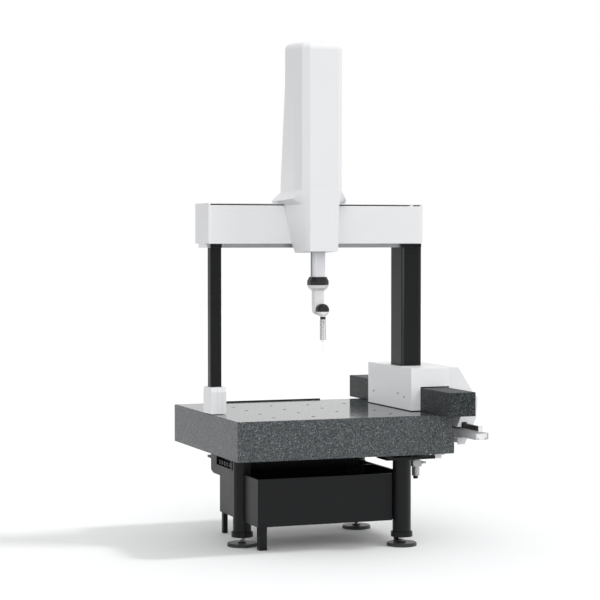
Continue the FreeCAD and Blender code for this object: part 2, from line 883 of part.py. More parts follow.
def cable_tray():
    body = new_body("cable_tray")
    section = new_sketch(body, "XZ", "tray_front")
    draw_polygon(section, [
        ("tray_left", "tray_bottom"),
        ("tray_right", "tray_bottom"),
        ("tray_right", "tray_top"),
        ("tray_right - tray_wall", "tray_top"),
        ("tray_right - tray_wall", "tray_bottom + tray_wall"),
        ("tray_left + tray_wall", "tray_bottom + tray_wall"),
        ("tray_left + tray_wall", "tray_top"),
        ("tray_left", "tray_top"),
    ])
    pad(body, section, "tray_length")
    seat = new_sketch(body, "XZ", "profile_front")
    draw_rectangle(seat, "profile_left", "tray_top - tray_wall", "tray_right", "tray_top")
    pad(body, seat, "tray_length + tray_front - profile_front")


def y_drive_profile():
    body = new_body("y_drive_profile")
    section = new_sketch(body, "XZ", "profile_front")
    high = "tray_top + profile_height"
    inner = "profile_left + profile_wall"
    draw_polygon(section, [
        ("profile_left", "tray_top"),
        ("tray_right", "tray_top"),
        ("tray_right", "tray_top + profile_wall"),
        (inner, "tray_top + profile_wall"),
        (inner, f"{high} - profile_wall"),
        ("tray_right", f"{high} - profile_wall"),
        ("tray_right", high),
        ("profile_left", high),
    ])
    pad(body, section, "profile_length")
    shaft_hole = new_sketch(body, "YZ", "profile_left")
    draw_circle(shaft_hole, "y_drive_y", "profile_middle", "y_pin_radius + shaft_hole_gap")
    cut(body, shaft_hole, "profile_wall")
    pin = new_sketch(body, "YZ", inner)
    draw_circle(pin, "y_idler_y", "profile_middle", "y_pin_radius")
    pad(body, pin, "profile_width - profile_wall - pin_end")


def pulley(label, x, y, z, axis, radius, width, bore):
    """Make a belt pulley whose bore turns on a pin, or with a shaft where there is no bore."""
    body = new_body(label, x, y, z)
    wheel = new_sketch(body, axis)
    draw_circle(wheel, "0", "0", radius)
    if bore:
        draw_circle(wheel, "0", "0", bore)
    pad(body, wheel, width)
    return body


def y_pulleys():
    face = "y_belt_left - (y_pulley_width - y_belt_width) / 2"
    pulley("y_idler_pulley", face, "y_idler_y", "profile_middle", "YZ", "y_pulley_radius", "y_pulley_width",
           "y_pin_radius + pin_fit")
    drive = pulley("y_drive_pulley", face, "y_drive_y", "profile_middle", "YZ", "y_pulley_radius",
                   "y_pulley_width", None)
    shaft = new_sketch(drive, "YZ", "-3 * y_pin_radius - profile_wall")
    draw_circle(shaft, "0", "0", "y_pin_radius")
    pad(drive, shaft, "3 * y_pin_radius + profile_wall")


def y_motor():
    body = new_body("y_motor", "profile_left", "y_drive_y", "profile_middle")
    case = new_sketch(body, "YZ", "-y_motor_length")
    draw_circle(case, "0", "0", "y_motor_radius")
    pad(body, case, "y_motor_length")
    bore = new_sketch(body, "YZ", "-y_motor_length / 3")
    draw_circle(bore, "0", "0", "y_pin_radius + pin_fit")
    cut(body, bore, "y_motor_length / 3")


def belt_loop(label, plane, level, ends, across, radius, width):
    """Make a toothed belt as a closed loop round two pulleys, with its length along a line."""
    body = new_body(label)
    inner = f"{radius} + belt_gap"
    outer = f"{radius} + belt_gap + belt_thickness"
    for number, reach in enumerate((outer, inner)):
        loop = new_sketch(body, plane, level)
        start, end = value_of(ends[0]), value_of(ends[1])
        middle, size = value_of(across), value_of(reach)
        low = FreeCAD.Vector(start, middle, 0)
        high = FreeCAD.Vector(end, middle, 0)
        up = FreeCAD.Vector(0, 0, 1)
        quarter = math.pi / 2
        loop.addGeometry(Part.LineSegment(FreeCAD.Vector(start, middle + size, 0),
                                          FreeCAD.Vector(end, middle + size, 0)))
        loop.addGeometry(Part.ArcOfCircle(Part.Circle(high, up, size), -quarter, quarter))
        loop.addGeometry(Part.LineSegment(FreeCAD.Vector(end, middle - size, 0),
                                          FreeCAD.Vector(start, middle - size, 0)))
        loop.addGeometry(Part.ArcOfCircle(Part.Circle(low, up, size), quarter, 3 * quarter))
        for pair in ((0, 2, 1, 2), (1, 1, 2, 1), (2, 2, 3, 2), (3, 1, 0, 1)):
            loop.addConstraint(Sketcher.Constraint("Tangent", *pair))
        fix(loop, "DistanceX", -1, 1, 3, 3, ends[0])
        fix(loop, "DistanceX", -1, 1, 1, 3, ends[1])
        fix(loop, "DistanceY", -1, 1, 3, 3, across)
        fix(loop, "DistanceY", -1, 1, 1, 3, across)
        fix(loop, "Radius", 1, reach)
        (pad if number == 0 else cut)(body, loop, width)


def belts():
    belt_loop("y_belt", "YZ", "y_belt_left", ("y_idler_y", "y_drive_y"), "profile_middle", "y_pulley_radius",
              "y_belt_width")
    belt_loop("x_belt", "XZ", "x_belt_front", ("x_idler_x", "x_drive_x"), "x_belt_z", "x_pulley_radius",
              "x_belt_width")


def scales():
    block("y_scale", "rail_right", "-rail_front_overhang + scale_height", "rail_top - 1.5 * scale_height",
          "scale_thickness", "rail_front_overhang + table_depth + rail_rear_overhang - 2 * scale_height",
          "scale_height")
    block("x_scale", "beam_left + end_cap_thickness + scale_height", "extrusion_front - scale_thickness",
          "extrusion_top - 1.5 * scale_height",
          "beam_right - beam_left - 2 * end_cap_thickness - 2 * scale_height", "scale_thickness", "scale_height")


# BRIDGE: CARRIAGE ROUND THE RAIL
def carriage_body():
    body = new_body("carriage_body")
    section = new_sketch(body, "XZ", "carriage_start + body_end_gap")
    inner_left = "rail_left - rail_pad_thickness - running_gap"
    inner_right = "rail_right + rail_pad_thickness + running_gap"
    inner_top = "rail_top + rail_pad_thickness + running_gap"
    low = "table_top + body_end_gap"
    draw_polygon(section, [
        (f"{inner_left} - body_arm", low),
        (inner_left, low),
        (inner_left, inner_top),
        (inner_right, inner_top),
        (inner_right, low),
        (f"{inner_right} + body_arm", low),
        (f"{inner_right} + body_arm", "body_top"),
        (f"{inner_left} - body_arm", "body_top"),
    ])
    pad(body, section, "carriage_length - 2 * body_end_gap")


def air_bearings():
    """Make the round pads that carry the bridge on the rail and on the table."""
    body = new_body("air_bearings", several=True)
    ends = ("carriage_start + rail_pad_inset", "carriage_start + carriage_length - rail_pad_inset")
    side_level = "table_top + rail_height / 2"
    on_top = new_sketch(body, "XY", "rail_top + running_gap")
    on_left = new_sketch(body, "YZ", "rail_left - running_gap - rail_pad_thickness")
    on_right = new_sketch(body, "YZ", "rail_right + running_gap")
    for along in ends:
        draw_circle(on_top, "(rail_left + rail_right) / 2", along, "rail_pad_radius")
        draw_circle(on_left, along, side_level, "rail_pad_radius")
        draw_circle(on_right, along, side_level, "rail_pad_radius")
    for face in (on_top, on_left, on_right):
        pad(body, face, "rail_pad_thickness")
    under_foot = new_sketch(body, "XY", "table_top + running_gap")
    for along in ("left_foot_front + foot_pad_inset", "left_foot_front + left_foot_depth - foot_pad_inset"):
        draw_circle(under_foot, "left_foot_width / 2", along, "foot_pad_radius")
    pad(body, under_foot, "foot_pad_thickness")


def carriage_cover():
    """Make the white cover over the rail, open below and to the outer half, with a hole for the column."""
    body = new_body("carriage_cover")
    section = new_sketch(body, "XZ", "carriage_start")
    cut_left = "rail_left - cover_side_gap"
    cut_top = "rail_top + cover_top_gap"
    low = "table_top + cover_lift"
    draw_polygon(section, [
        ("cover_left", low),
        (cut_left, low),
        (cut_left, cut_top),
        ("seam", cut_top),
        ("seam", "cover_top"),
        ("cover_left", "cover_top"),
    ])
    solid = pad(body, section, "carriage_length")
    low_z, cut_x = value_of(low), value_of(cut_left)
    cut_z, seam_x = value_of(cut_top), value_of("seam")

    def is_open(face):
        centre = face.CenterOfMass
        return (abs(centre.z - low_z) < same or abs(centre.x - cut_x) < same
                or abs(centre.z - cut_z) < same or abs(centre.x - seam_x) < same)

    hollow(body, solid, is_open, "cover_wall")
    opening = new_sketch(body, "XY", "cover_top - cover_wall")
    draw_rectangle(opening, "right_column_left - column_gap", "right_column_front - column_gap",
                   "right_column_left + right_column_width + column_gap",
                   "right_column_front + right_column_depth + column_gap")
    cut(body, opening, "cover_wall")


def carriage_outer_cover():
    """Make the outer half, which slopes down and hooks round the cable tray."""
    body = new_body("carriage_outer_cover")
    section = new_sketch(body, "XZ", "carriage_start")
    left = "seam + running_gap"
    draw_polygon(section, [
        (left, "cover_top"),
        ("rail_right + shoulder_reach", "cover_top"),
        ("rail_right + slope_reach", "rail_top - slope_drop"),
        ("rail_right + cover_reach", "rail_top - vertex_drop"),
        ("rail_right + hook_side", "hook_side_height"),
        ("rail_right + hook_reach", "hook_bottom"),
        ("rail_right + hook_reach - hook_width", "hook_bottom"),
        ("rail_right + hook_plate_low", "hook_plate_bottom"),
        ("rail_right + hook_plate_high", "hook_plate_top"),
        (left, "hook_plate_top + cover_top_gap"),
    ])
    solid = pad(body, section, "carriage_length")
    seam_x, low_z = value_of(left), sizes["hook_bottom"]
    lower_x = value_of("rail_right + (hook_reach - hook_width + hook_plate_low) / 2")

    def is_open(face):
        centre = face.CenterOfMass
        lower_gap = abs(centre.x - lower_x) < same and centre.z < sizes["hook_plate_bottom"]
        return abs(centre.x - seam_x) < same or abs(centre.z - low_z) < same or lower_gap

    hollow(body, solid, is_open, "cover_wall")
    notch = new_sketch(body, "XZ", "carriage_start")
    draw_polygon(notch, [
        ("tray_left - hook_gap", "tray_bottom - hook_gap"),
        ("tray_right + hook_gap", "tray_bottom - hook_gap"),
        ("tray_right + hook_gap", "tray_top + profile_height + hook_gap"),
        ("profile_left - hook_gap", "tray_top + profile_height + hook_gap"),
        ("profile_left - hook_gap", "tray_top + hook_gap"),
        ("tray_left - hook_gap", "tray_top + hook_gap"),
    ])
    cut(body, notch, "carriage_length")


def y_drive_arm():
    """Make the arm that ties the carriage to the upper run of the belt."""
    body = new_body("y_drive_arm")
    section = new_sketch(body, "XZ", "carriage_start + carriage_length / 2 - arm_width / 2")
    root = "rail_right + rail_pad_thickness + running_gap + body_arm"
    finger_top = "profile_middle + y_pulley_radius + belt_gap - running_gap"
    leg_left = "tray_right + hook_gap / 2"
    draw_polygon(section, [
        (root, "rail_top - vertex_drop"),
        (leg_left, "rail_top - vertex_drop"),
        (leg_left, finger_top),
        ("y_belt_left + finger_inset", finger_top),
        ("y_belt_left + finger_inset", f"{finger_top} - finger_thickness"),
        (f"{leg_left} + arm_thickness / 2", f"{finger_top} - finger_thickness"),
        (f"{leg_left} + arm_thickness", "rail_top - vertex_drop + arm_thickness"),
        (root, "rail_top - vertex_drop + arm_thickness"),
    ])
    pad(body, section, "arm_width")


def read_heads():
    block("y_read_head", "rail_right + scale_thickness + running_gap", "carriage_start + carriage_length / 2",
          "rail_top - 2 * scale_height", "rail_pad_thickness - scale_thickness", "arm_width / 2",
          "2 * scale_height")
    block("x_read_head", "probe_x - arm_width / 4", "beam_front + extrusion_inset - scale_thickness - saddle_leg",
          "extrusion_top - 2 * scale_height", "arm_width / 2", "saddle_leg - running_gap", "2 * scale_height")


# BRIDGE: LEFT FOOT AND COLUMNS
def left_foot():
    floor = "table_top + running_gap + foot_pad_thickness"
    block("left_foot_body", "cover_wall + running_gap", "left_foot_front + cover_wall + running_gap", floor,
          "left_foot_width - 2 * cover_wall - 2 * running_gap",
          "left_foot_depth - 2 * cover_wall - 2 * running_gap",
          f"foot_block_top - ({floor})")
    body = new_body("left_foot_cover")
    side = new_sketch(body, "YZ", "0")
    front, rear = "left_foot_front", "left_foot_front + left_foot_depth"
    low, high = "table_top + left_foot_lift", "table_top + left_foot_height"
    draw_polygon(side, [
        (front, low),
        (rear, low),
        (rear, f"{high} - left_foot_bevel"),
        (f"{rear} - left_foot_bevel / 2", high),
        (f"{front} + left_foot_bevel / 2", high),
        (front, f"{high} - left_foot_bevel"),
    ])
    solid = pad(body, side, "left_foot_width")
    low_z = value_of(low)
    hollow(body, solid, lambda face: abs(face.CenterOfMass.z - low_z) < same, "cover_wall")
    opening = new_sketch(body, "XY", f"{high} - cover_wall")
    draw_rectangle(opening, "left_column_x - column_gap", "extrusion_front - column_gap",
                   "left_column_x + left_column_width + column_gap",
                   "extrusion_front + left_column_depth + column_gap")
    cut(body, opening, "cover_wall")


def column(label, x, y, bottom, width, depth):
    body = new_body(label, x, y)
    plan = new_sketch(body, "XY", bottom)
    draw_rectangle(plan, "0", "0", width, depth)
    solid = pad(body, plan, f"beam_bottom - ({bottom})")
    dress(body, "Fillet", solid, runs_along("Z"), "column_corner")
    inside = new_sketch(body, "XY", f"{bottom} + 2 * column_wall")
    draw_rectangle(inside, "column_wall", "column_wall", f"{width} - column_wall", f"{depth} - column_wall")
    cut(body, inside, f"beam_bottom - ({bottom}) - 4 * column_wall")


def columns():
    column("left_column", "left_column_x", "extrusion_front", "foot_block_top", "left_column_width",
           "left_column_depth")
    column("right_column", "right_column_left", "right_column_front", "body_top", "right_column_width",
           "right_column_depth")


# BRIDGE: BEAM
def beam_extrusion():
    body = new_body("beam_extrusion")
    left, right = "beam_left + end_cap_thickness", "beam_right - end_cap_thickness"
    section = new_sketch(body, "YZ", left)
    wall = "extrusion_wall"
    draw_rectangle(section, "extrusion_front", "beam_bottom", "extrusion_rear", "extrusion_top")
    draw_rectangle(section, f"extrusion_front + {wall}", f"beam_bottom + {wall}", f"extrusion_rear - {wall}",
                   f"extrusion_top - {wall}")
    pad(body, section, f"{right} - ({left})")
    shaft_hole = new_sketch(body, "XZ", f"extrusion_rear - {wall}")
    draw_circle(shaft_hole, "x_drive_x", "x_belt_z", "x_pin_radius + shaft_hole_gap")
    cut(body, shaft_hole, wall)
    pin = new_sketch(body, "XZ", "extrusion_rear")
    draw_circle(pin, "x_idler_x", "x_belt_z", "x_pin_radius")
    pad(body, pin, "x_belt_offset + x_pulley_width + pin_end")


def beam_cover(label, section_points):
    body = new_body(label)
    section = new_sketch(body, "YZ", "beam_left + end_cap_thickness")
    draw_polygon(section, section_points)
    pad(body, section, "beam_right - beam_left - 2 * end_cap_thickness")


def beam_covers():
    wall = "beam_cover_wall"
    low, top = "beam_cover_bottom", "beam_cover_top"
    beam_cover("beam_front_cover", [
        ("beam_front", low),
        ("extrusion_front - running_gap", low),
        ("extrusion_front - running_gap", f"{low} + {wall}"),
        (f"beam_front + {wall}", f"{low} + {wall}"),
        (f"beam_front + {wall}", f"slot_bottom - {wall}"),
        (f"beam_front + beam_lip / 2", f"slot_bottom - {wall}"),
        (f"beam_front + beam_lip / 2", "slot_bottom"),
        ("beam_front", "slot_bottom"),
    ])
    beam_cover("beam_top_cover", [
        ("beam_front", f"{top} - {wall}"),
        ("beam_rear", f"{top} - {wall}"),
        ("beam_rear", top),
        ("beam_front", top),
    ])
    beam_cover("beam_rear_cover", [
        ("extrusion_rear + running_gap", low),
        ("beam_rear", low),
        ("beam_rear", f"{top} - {wall}"),
        (f"beam_rear - {wall}", f"{top} - {wall}"),
        (f"beam_rear - {wall}", f"{low} + {wall}"),
        ("extrusion_rear + running_gap", f"{low} + {wall}"),
    ])


def beam_end_caps():
    body = new_body("beam_end_caps", several=True)
    for left in ("beam_left", "beam_right - end_cap_thickness"):
        face = new_sketch(body, "YZ", left)
        draw_polygon(face, [
            ("extrusion_front", "beam_bottom"),
            ("extrusion_rear", "beam_bottom"),
            ("extrusion_rear", "beam_cover_bottom"),
            ("beam_rear", "beam_cover_bottom"),
            ("beam_rear", "beam_cover_top"),
            ("beam_front", "beam_cover_top"),
            ("beam_front", "beam_cover_bottom"),
            ("extrusion_front", "beam_cover_bottom"),
        ])
        pad(body, face, "end_cap_thickness")


def x_motor():
    """Make the motor that stands inside the end of the guide beam."""
    rear = "extrusion_rear - extrusion_wall"
    body = new_body("x_motor", "x_drive_x", rear, "x_belt_z")
    case = new_sketch(body, "XZ", "-x_motor_length")
    draw_circle(case, "0", "0", "x_motor_radius")
    pad(body, case, "x_motor_length")
    bore = new_sketch(body, "XZ", "-x_motor_length / 4")
    draw_circle(bore, "0", "0", "x_pin_radius + pin_fit")
    cut(body, bore, "x_motor_length / 4")


def x_pulleys():
    face = "x_belt_front - (x_pulley_width - x_belt_width) / 2"
    pulley("x_idler_pulley", "x_idler_x", face, "x_belt_z", "XZ", "x_pulley_radius", "x_pulley_width",
           "x_pin_radius + pin_fit")
    drive = pulley("x_drive_pulley", "x_drive_x", face, "x_belt_z", "XZ", "x_pulley_radius", "x_pulley_width",
                   None)
    reach = "x_belt_offset + extrusion_wall + 3 * x_pin_radius"
    shaft = new_sketch(drive, "XZ", f"-({reach})")
    draw_circle(shaft, "0", "0", "x_pin_radius")
    pad(drive, shaft, reach)


# X CARRIAGE
def x_saddle():
    """Make the plate behind the head, with a web through the beam's slot to the inner slide."""
    body = new_body("x_saddle", "probe_x")
    face = new_sketch(body, "XY", "plate_bottom")
    draw_rectangle(face, "-plate_half", "plate_front", "plate_half", "plate_rear")
    pad(body, face, "plate_top - plate_bottom")
    front_leg = "beam_front + beam_lip / 2 + running_gap"
    inner_top = "web_bottom + web_thickness"
    inner_low = "extrusion_top + running_gap + rail_pad_thickness / 2"
    side = new_sketch(body, "YZ", "-saddle_half")
    leg_low = "x_belt_z + x_pulley_radius - belt_bite"
    draw_polygon(side, [
        ("plate_front", "web_bottom"),
        (f"{front_leg} + saddle_leg", "web_bottom"),
        (f"{front_leg} + saddle_leg", inner_low),
        ("inner_leg_rear - saddle_leg", inner_low),
        ("inner_leg_rear - saddle_leg", leg_low),
        ("inner_leg_rear", leg_low),
        ("inner_leg_rear", inner_top),
        ("plate_front", inner_top),
    ])
    pad(body, side, "2 * saddle_half")
    finger = new_sketch(body, "YZ", "-clamp_width / 2")
    draw_rectangle(finger, "x_belt_front", leg_low, "inner_leg_rear",
                   "x_belt_z + x_pulley_radius + belt_gap - running_gap")
    pad(body, finger, "clamp_width")


def head_bearings():
    """Make the pads of the inner slide on the beam and those round the ram."""
    body = new_body("head_bearings", several=True)
    top_level = "extrusion_top + running_gap"
    rear_level = "extrusion_top - x_pad_drop"
    above = new_sketch(body, "XY", top_level)
    behind = new_sketch(body, "XZ", "extrusion_rear + running_gap")
    for side in ("-", "+"):
        across = f"probe_x {side} x_pad_spread"
        draw_circle(above, across, "(extrusion_front + extrusion_rear) / 2", "x_pad_radius")
        draw_circle(behind, across, rear_level, "x_pad_radius")
    pad(body, above, "rail_pad_thickness / 2")
    pad(body, behind, "inner_leg_rear - saddle_leg - extrusion_rear - running_gap")
    for level in ("guide_bottom + guide_pad_inset",
                  "guide_bottom + guide_height - guide_pad_inset - guide_pad_size"):
        round_ram = new_sketch(body, "XY", level)
        near, far = "ram_half + running_gap", "ram_half + guide_gap"
        half = "guide_pad_size / 2"
        for sign in ("-", "+"):
            low, high = (far, near) if sign == "-" else (near, far)
            draw_rectangle(round_ram, f"probe_x {sign} ({low})", f"ram_y - {half}",
                           f"probe_x {sign} ({high})", f"ram_y + {half}")
            draw_rectangle(round_ram, f"probe_x - {half}", f"ram_y {sign} ({low})",
                           f"probe_x + {half}", f"ram_y {sign} ({high})")
        pad(body, round_ram, "guide_pad_size")


def mirrored(half_points):
    """Complete an outline that is alike left and right from its right half."""
    return half_points + [(f"-({across})", along) for across, along in reversed(half_points)]


def top_half(depth):
    """Give the head's half width at its top, which widens over the beam like the tower above it."""
    spread = "(shoulder_rear_half - head_corner_half)"
    return f"head_corner_half + {spread} * ({depth} - sweep_depth) / (head_depth + wing_depth - sweep_depth)"


def ledge(depth):
    """Give the height of the upright band round the head's top at a depth."""
    return f"(ledge_front + (ledge_rear - ledge_front) * ({depth}) / (head_depth + wing_depth))"


def head_section(body, depth, drop, halves, crease, inset="0"):
    """Draw the head's outline at a depth behind its front, drawn in by an inset."""
    low, under, edge, top = halves
    at_crease = f"crease_inset_share * {inset}" if "crease" in edge else inset
    sketch = new_sketch(body, "XZ", f"head_front + {depth}")
    draw_polygon(sketch, mirrored([
        (f"{low} - {inset}", f"head_bottom - head_drop * {drop} + {inset}"),
        (f"{low} + bevel_share * ({under} - {low}) - {inset}", f"head_bottom + bevel_height + {inset} / 2"),
        (f"{under} - {inset}", f"head_bottom + under_height + {inset} / 2"),
        (f"{edge} - {at_crease}", f"head_bottom + {crease} + {inset} / 2"),
        (f"{top} - {inset}", f"head_top - {ledge(depth)}"),
        (f"{top} - {inset}", "head_top"),
    ]))
    return sketch


def wing_section(body, depth, edge, crease, inset="0"):
    """Draw the outline of the shoulders where they reach over the beam."""
    sketch = new_sketch(body, "XZ", f"head_front + {depth}")
    draw_polygon(sketch, mirrored([
        (f"{edge} - wing_edge - 2 * {inset}", f"wing_bottom + {inset}"),
        (f"{edge} - crease_inset_share * {inset}", f"head_bottom + {crease} + {inset} / 2"),
        (f"{top_half(depth)} - {inset}", f"head_top - {ledge(depth)}"),
        (f"{top_half(depth)} - {inset}", "head_top"),
    ]))
    return sketch


def head_cover():
    """Make the moulded head: a front that narrows below, and shoulders that sweep out over the beam."""
    body = new_body("head_cover", "probe_x")
    nose = ["head_front_half"] * 4
    front_depth = "head_depth - head_gap"
    sections = [
        ("0", "0", nose, "crease_corner"),
        ("head_chamfer", "0", ("low_corner_half", "under_corner_half", "head_corner_half", "head_corner_half"),
         "crease_corner"),
        ("flare_depth", "(flare_depth - head_chamfer) / (head_depth - head_gap - head_chamfer)",
         ("low_flare_half", "under_flare_half", "crease_flare_half", "head_corner_half"), "crease_flare"),
        ("sweep_depth", "(sweep_depth - head_chamfer) / (head_depth - head_gap - head_chamfer)",
         ("low_sweep_half", "under_sweep_half", "crease_sweep_half", "head_corner_half"), "crease_sweep"),
        (front_depth, "1",
         ("low_rear_half", "under_rear_half", "crease_rear_half", top_half(front_depth)), "crease_rear"),
    ]
    wings = [
        (front_depth, "crease_rear_half", "crease_rear"),
        ("head_depth + wing_start", "crease_tip_half", "crease_tip"),
        ("head_depth + wing_depth", "crease_end_half", "crease_tip"),
    ]
    loft(body, [head_section(body, *section) for section in sections])
    loft(body, [wing_section(body, *wing) for wing in wings])
    inner = [("head_wall", *sections[0][1:])] + sections[1:]
    loft(body, [head_section(body, *section, inset="head_wall") for section in inner], subtractive=True)
    inner_wings = wings[:2] + [("head_depth + wing_depth - head_wall", *wings[2][1:])]
    loft(body, [wing_section(body, *wing, inset="head_wall") for wing in inner_wings], subtractive=True)
    passage = new_sketch(body, "XY", "head_bottom - head_drop")
    reach = "ram_half + ram_hole_gap"
    draw_rectangle(passage, f"-({reach})", f"ram_y - ({reach})", reach, f"ram_y + {reach}")
    cut(body, passage, "head_drop + head_wall + head_gap")


def tower_outline(body, level, rear_half, inset="0", sloping=False):
    """Draw the tower's outline at a level of its front, drawn in all round by an inset."""
    sketch = new_sketch(body, "XY", f"{level} - head_front * roof_slope" if sloping else level)
    if sloping:
        level_place = sketch.AttachmentOffset
        level_place.Rotation = FreeCAD.Rotation(FreeCAD.Vector(1, 0, 0), 1)
        sketch.AttachmentOffset = level_place
        sketch.setExpression("AttachmentOffset.Rotation.Angle", formula("atan(roof_slope)"))
    draw_polygon(sketch, mirrored([
        (f"head_front_half - {inset} / 2", f"head_front + {inset}"),
        (f"head_corner_half - {inset}", f"head_front + head_chamfer + {inset} / 2"),
        (f"head_corner_half - {inset}", "head_front + sweep_depth"),
        (f"{rear_half} - {inset}", f"head_front + head_depth + wing_depth - {inset}"),
    ]))
    return sketch


def tower_cover():
    """Make the tall cover of the raised ram, with a rounded roof that rises to the rear."""
    body = new_body("tower_cover", "probe_x")
    low = "head_top + running_gap"
    narrow = "tower_rear_half"
    sections = [tower_outline(body, low, "shoulder_rear_half"), tower_outline(body, "tower_flare_top", narrow)]
    for step in range(sizes["roof_steps"] + 1):
        turn = math.pi / 2 * step / sizes["roof_steps"]
        level = f"tower_edge + roof_rise * {math.sin(turn):.6f}"
        inset = f"(roof_inset * {1 - math.cos(turn):.6f})"
        sections.append(tower_outline(body, level, narrow, inset, sloping=True))
    loft(body, sections)
    loft(body, [
        tower_outline(body, low, "shoulder_rear_half", "head_wall"),
        tower_outline(body, "tower_flare_top", narrow, "head_wall"),
        tower_outline(body, "tower_edge - head_wall", narrow, "head_wall"),
    ], subtractive=True)


# RAM, ITS GUIDE AND ITS DRIVE
def z_guide_frame():
    body = new_body("z_guide_frame", "probe_x", "ram_y")
    ring = new_sketch(body, "XY", "guide_bottom")
    inner = "ram_half + guide_gap"
    draw_rectangle(ring, "-guide_half", "-guide_half", "guide_half", "plate_front - ram_y")
    draw_rectangle(ring, f"-({inner})", f"-({inner})", inner, inner)
    pad(body, ring, "guide_height")
    mount = new_sketch(body, "XY", "guide_bottom + guide_height")
    motor_left = "ram_half + motor_side_gap"
    draw_rectangle(mount, motor_left, "roller_y - ram_y - motor_mount_width / 2",
                   f"{motor_left} + motor_mount_thickness", "roller_y - ram_y + motor_mount_width / 2")
    pad(body, mount, "motor_mount_height")
    hole = new_sketch(body, "YZ", motor_left)
    draw_circle(hole, "roller_y - ram_y", "roller_z", "roller_pin_radius + shaft_hole_gap")
    cut(body, hole, "motor_mount_thickness")


def z_motor():
    body = new_body("z_motor", "probe_x + ram_half + motor_side_gap + motor_mount_thickness", "roller_y",
                    "roller_z")
    case = new_sketch(body, "YZ", "0")
    draw_circle(case, "0", "0", "z_motor_radius")
    pad(body, case, "z_motor_length")
    bore = new_sketch(body, "YZ", "0")
    draw_circle(bore, "0", "0", "roller_pin_radius + pin_fit")
    cut(body, bore, "z_motor_length / 3")


def z_drive_roller():
    body = new_body("z_drive_roller", "probe_x - roller_width / 2", "roller_y", "roller_z")
    wheel = new_sketch(body, "YZ", "0")
    draw_circle(wheel, "0", "0", "roller_radius")
    pad(body, wheel, "roller_width")
    shaft = new_sketch(body, "YZ", "roller_width")
    draw_circle(shaft, "0", "0", "roller_pin_radius")
    pad(body, shaft, "ram_half + motor_side_gap + motor_mount_thickness - roller_width / 2 + z_motor_length / 4")


def ram_tube():
    body = new_body("ram_tube", "probe_x", "ram_y")
    section = new_sketch(body, "XY", "ram_bottom")
    draw_rectangle(section, "-ram_half", "-ram_half", "ram_half", "ram_half")
    solid = pad(body, section, "ram_length")
    dress(body, "Chamfer", solid, runs_along("Z"), "ram_wall / 4")
    inside = new_sketch(body, "XY", "ram_bottom + ram_wall")
    reach = "ram_half - ram_wall"
    draw_rectangle(inside, f"-({reach})", f"-({reach})", reach, reach)
    cut(body, inside, "ram_length - ram_wall")


def eight_corners(half, chamfer):
    """Give a square's outline with its corners cut off."""
    near = f"{half} - {chamfer}"
    return [
        (f"-({near})", f"-({half})"), (near, f"-({half})"), (half, f"-({near})"), (half, near),
        (near, half), (f"-({near})", half), (f"-({half})", near), (f"-({half})", f"-({near})"),
    ]


def section_at(body, level, points):
    sketch = new_sketch(body, "XY", level)
    draw_polygon(sketch, points)
    return sketch


def head_stator():
    body = new_body("head_stator", "probe_x", "ram_y")
    wide = eight_corners("stator_half", "stator_chamfer")
    top = eight_corners("stator_top_half", "stator_chamfer / 2")
    loft(body, [
        section_at(body, "stator_bottom", wide),
        section_at(body, "ram_bottom - stator_slope", wide),
        section_at(body, "ram_bottom", top),
    ])


def probe_arm():
    """Make the turning arm: a bowl under the stator and a rounded limb with a round end."""
    body = new_body("probe_arm", "probe_x", "ram_y")
    limb = new_sketch(body, "XZ", "-arm_half")
    draw_rectangle(limb, "-arm_half", "wrist_z", "arm_half", "arm_top - bowl_height")
    pad(body, limb, "2 * arm_half")
    end = new_sketch(body, "XZ", "-arm_half")
    draw_circle(end, "0", "wrist_z", "arm_half")
    rounded = pad(body, end, "2 * arm_half")
    dress(body, "Fillet", rounded, runs_along("Z"), "arm_round")
    loft(body, [
        section_at(body, "arm_top - bowl_height", eight_corners("arm_half", "arm_round / 2")),
        section_at(body, "arm_top - bowl_shoulder",
                   eight_corners("bowl_shoulder_half", "stator_chamfer * bowl_shoulder_half / stator_half")),
        section_at(body, "arm_top", eight_corners("stator_half", "stator_chamfer")),
    ])


def wrist_half(label, start, upper):
    """Make the tilting disc from a depth on, and take away what the other half covers."""
    body = new_body(label, "probe_x", "ram_y", "wrist_z")
    front = "-wrist_offset - disc_front"
    neck = [(f"-({start})", "0"), (f"-({start})", "disc_radius")]
    if upper:
        neck = [
            (f"-({start})", "0"),
            (f"-({start})", "disc_neck_radius"),
            (f"-({start}) - disc_neck", "disc_neck_radius"),
            (f"-({start}) - disc_neck", "disc_radius"),
        ]
    half = new_sketch(body, "YZ")
    draw_polygon(half, neck + [
        (f"{front} + disc_dome", "disc_radius"),
        (front, "disc_radius - disc_dome"),
        (front, "0"),
    ])
    revolve(body, half, "Y")
    reach = "disc_radius + 1"
    away = new_sketch(body, "XY", f"-({reach})" if upper else "-disc_split")
    draw_rectangle(away, f"-({reach})", f"{front} - 1", reach, "-disc_back - shell_depth" if upper else "0")
    cut(body, away, "disc_radius + 1 - disc_split" if upper else "disc_radius + disc_split + 1")
    return body


def wrist():
    wrist_half("wrist_cap", "disc_back", True)
    shell = wrist_half("wrist_shell", "disc_back + shell_depth", False)
    neck = new_sketch(shell, "XY", "-ring_drop")
    draw_circle(neck, "0", "-wrist_offset", "ring_radius - 1")
    pad(shell, neck, "ring_drop - disc_split - 1")


def turned(label, x, y, points):
    """Make a piece turned round a vertical axis from its half outline of radius and height."""
    body = new_body(label, x, y)
    half = new_sketch(body, "XZ")
    draw_polygon(half, points)
    revolve(body, half)
    return body


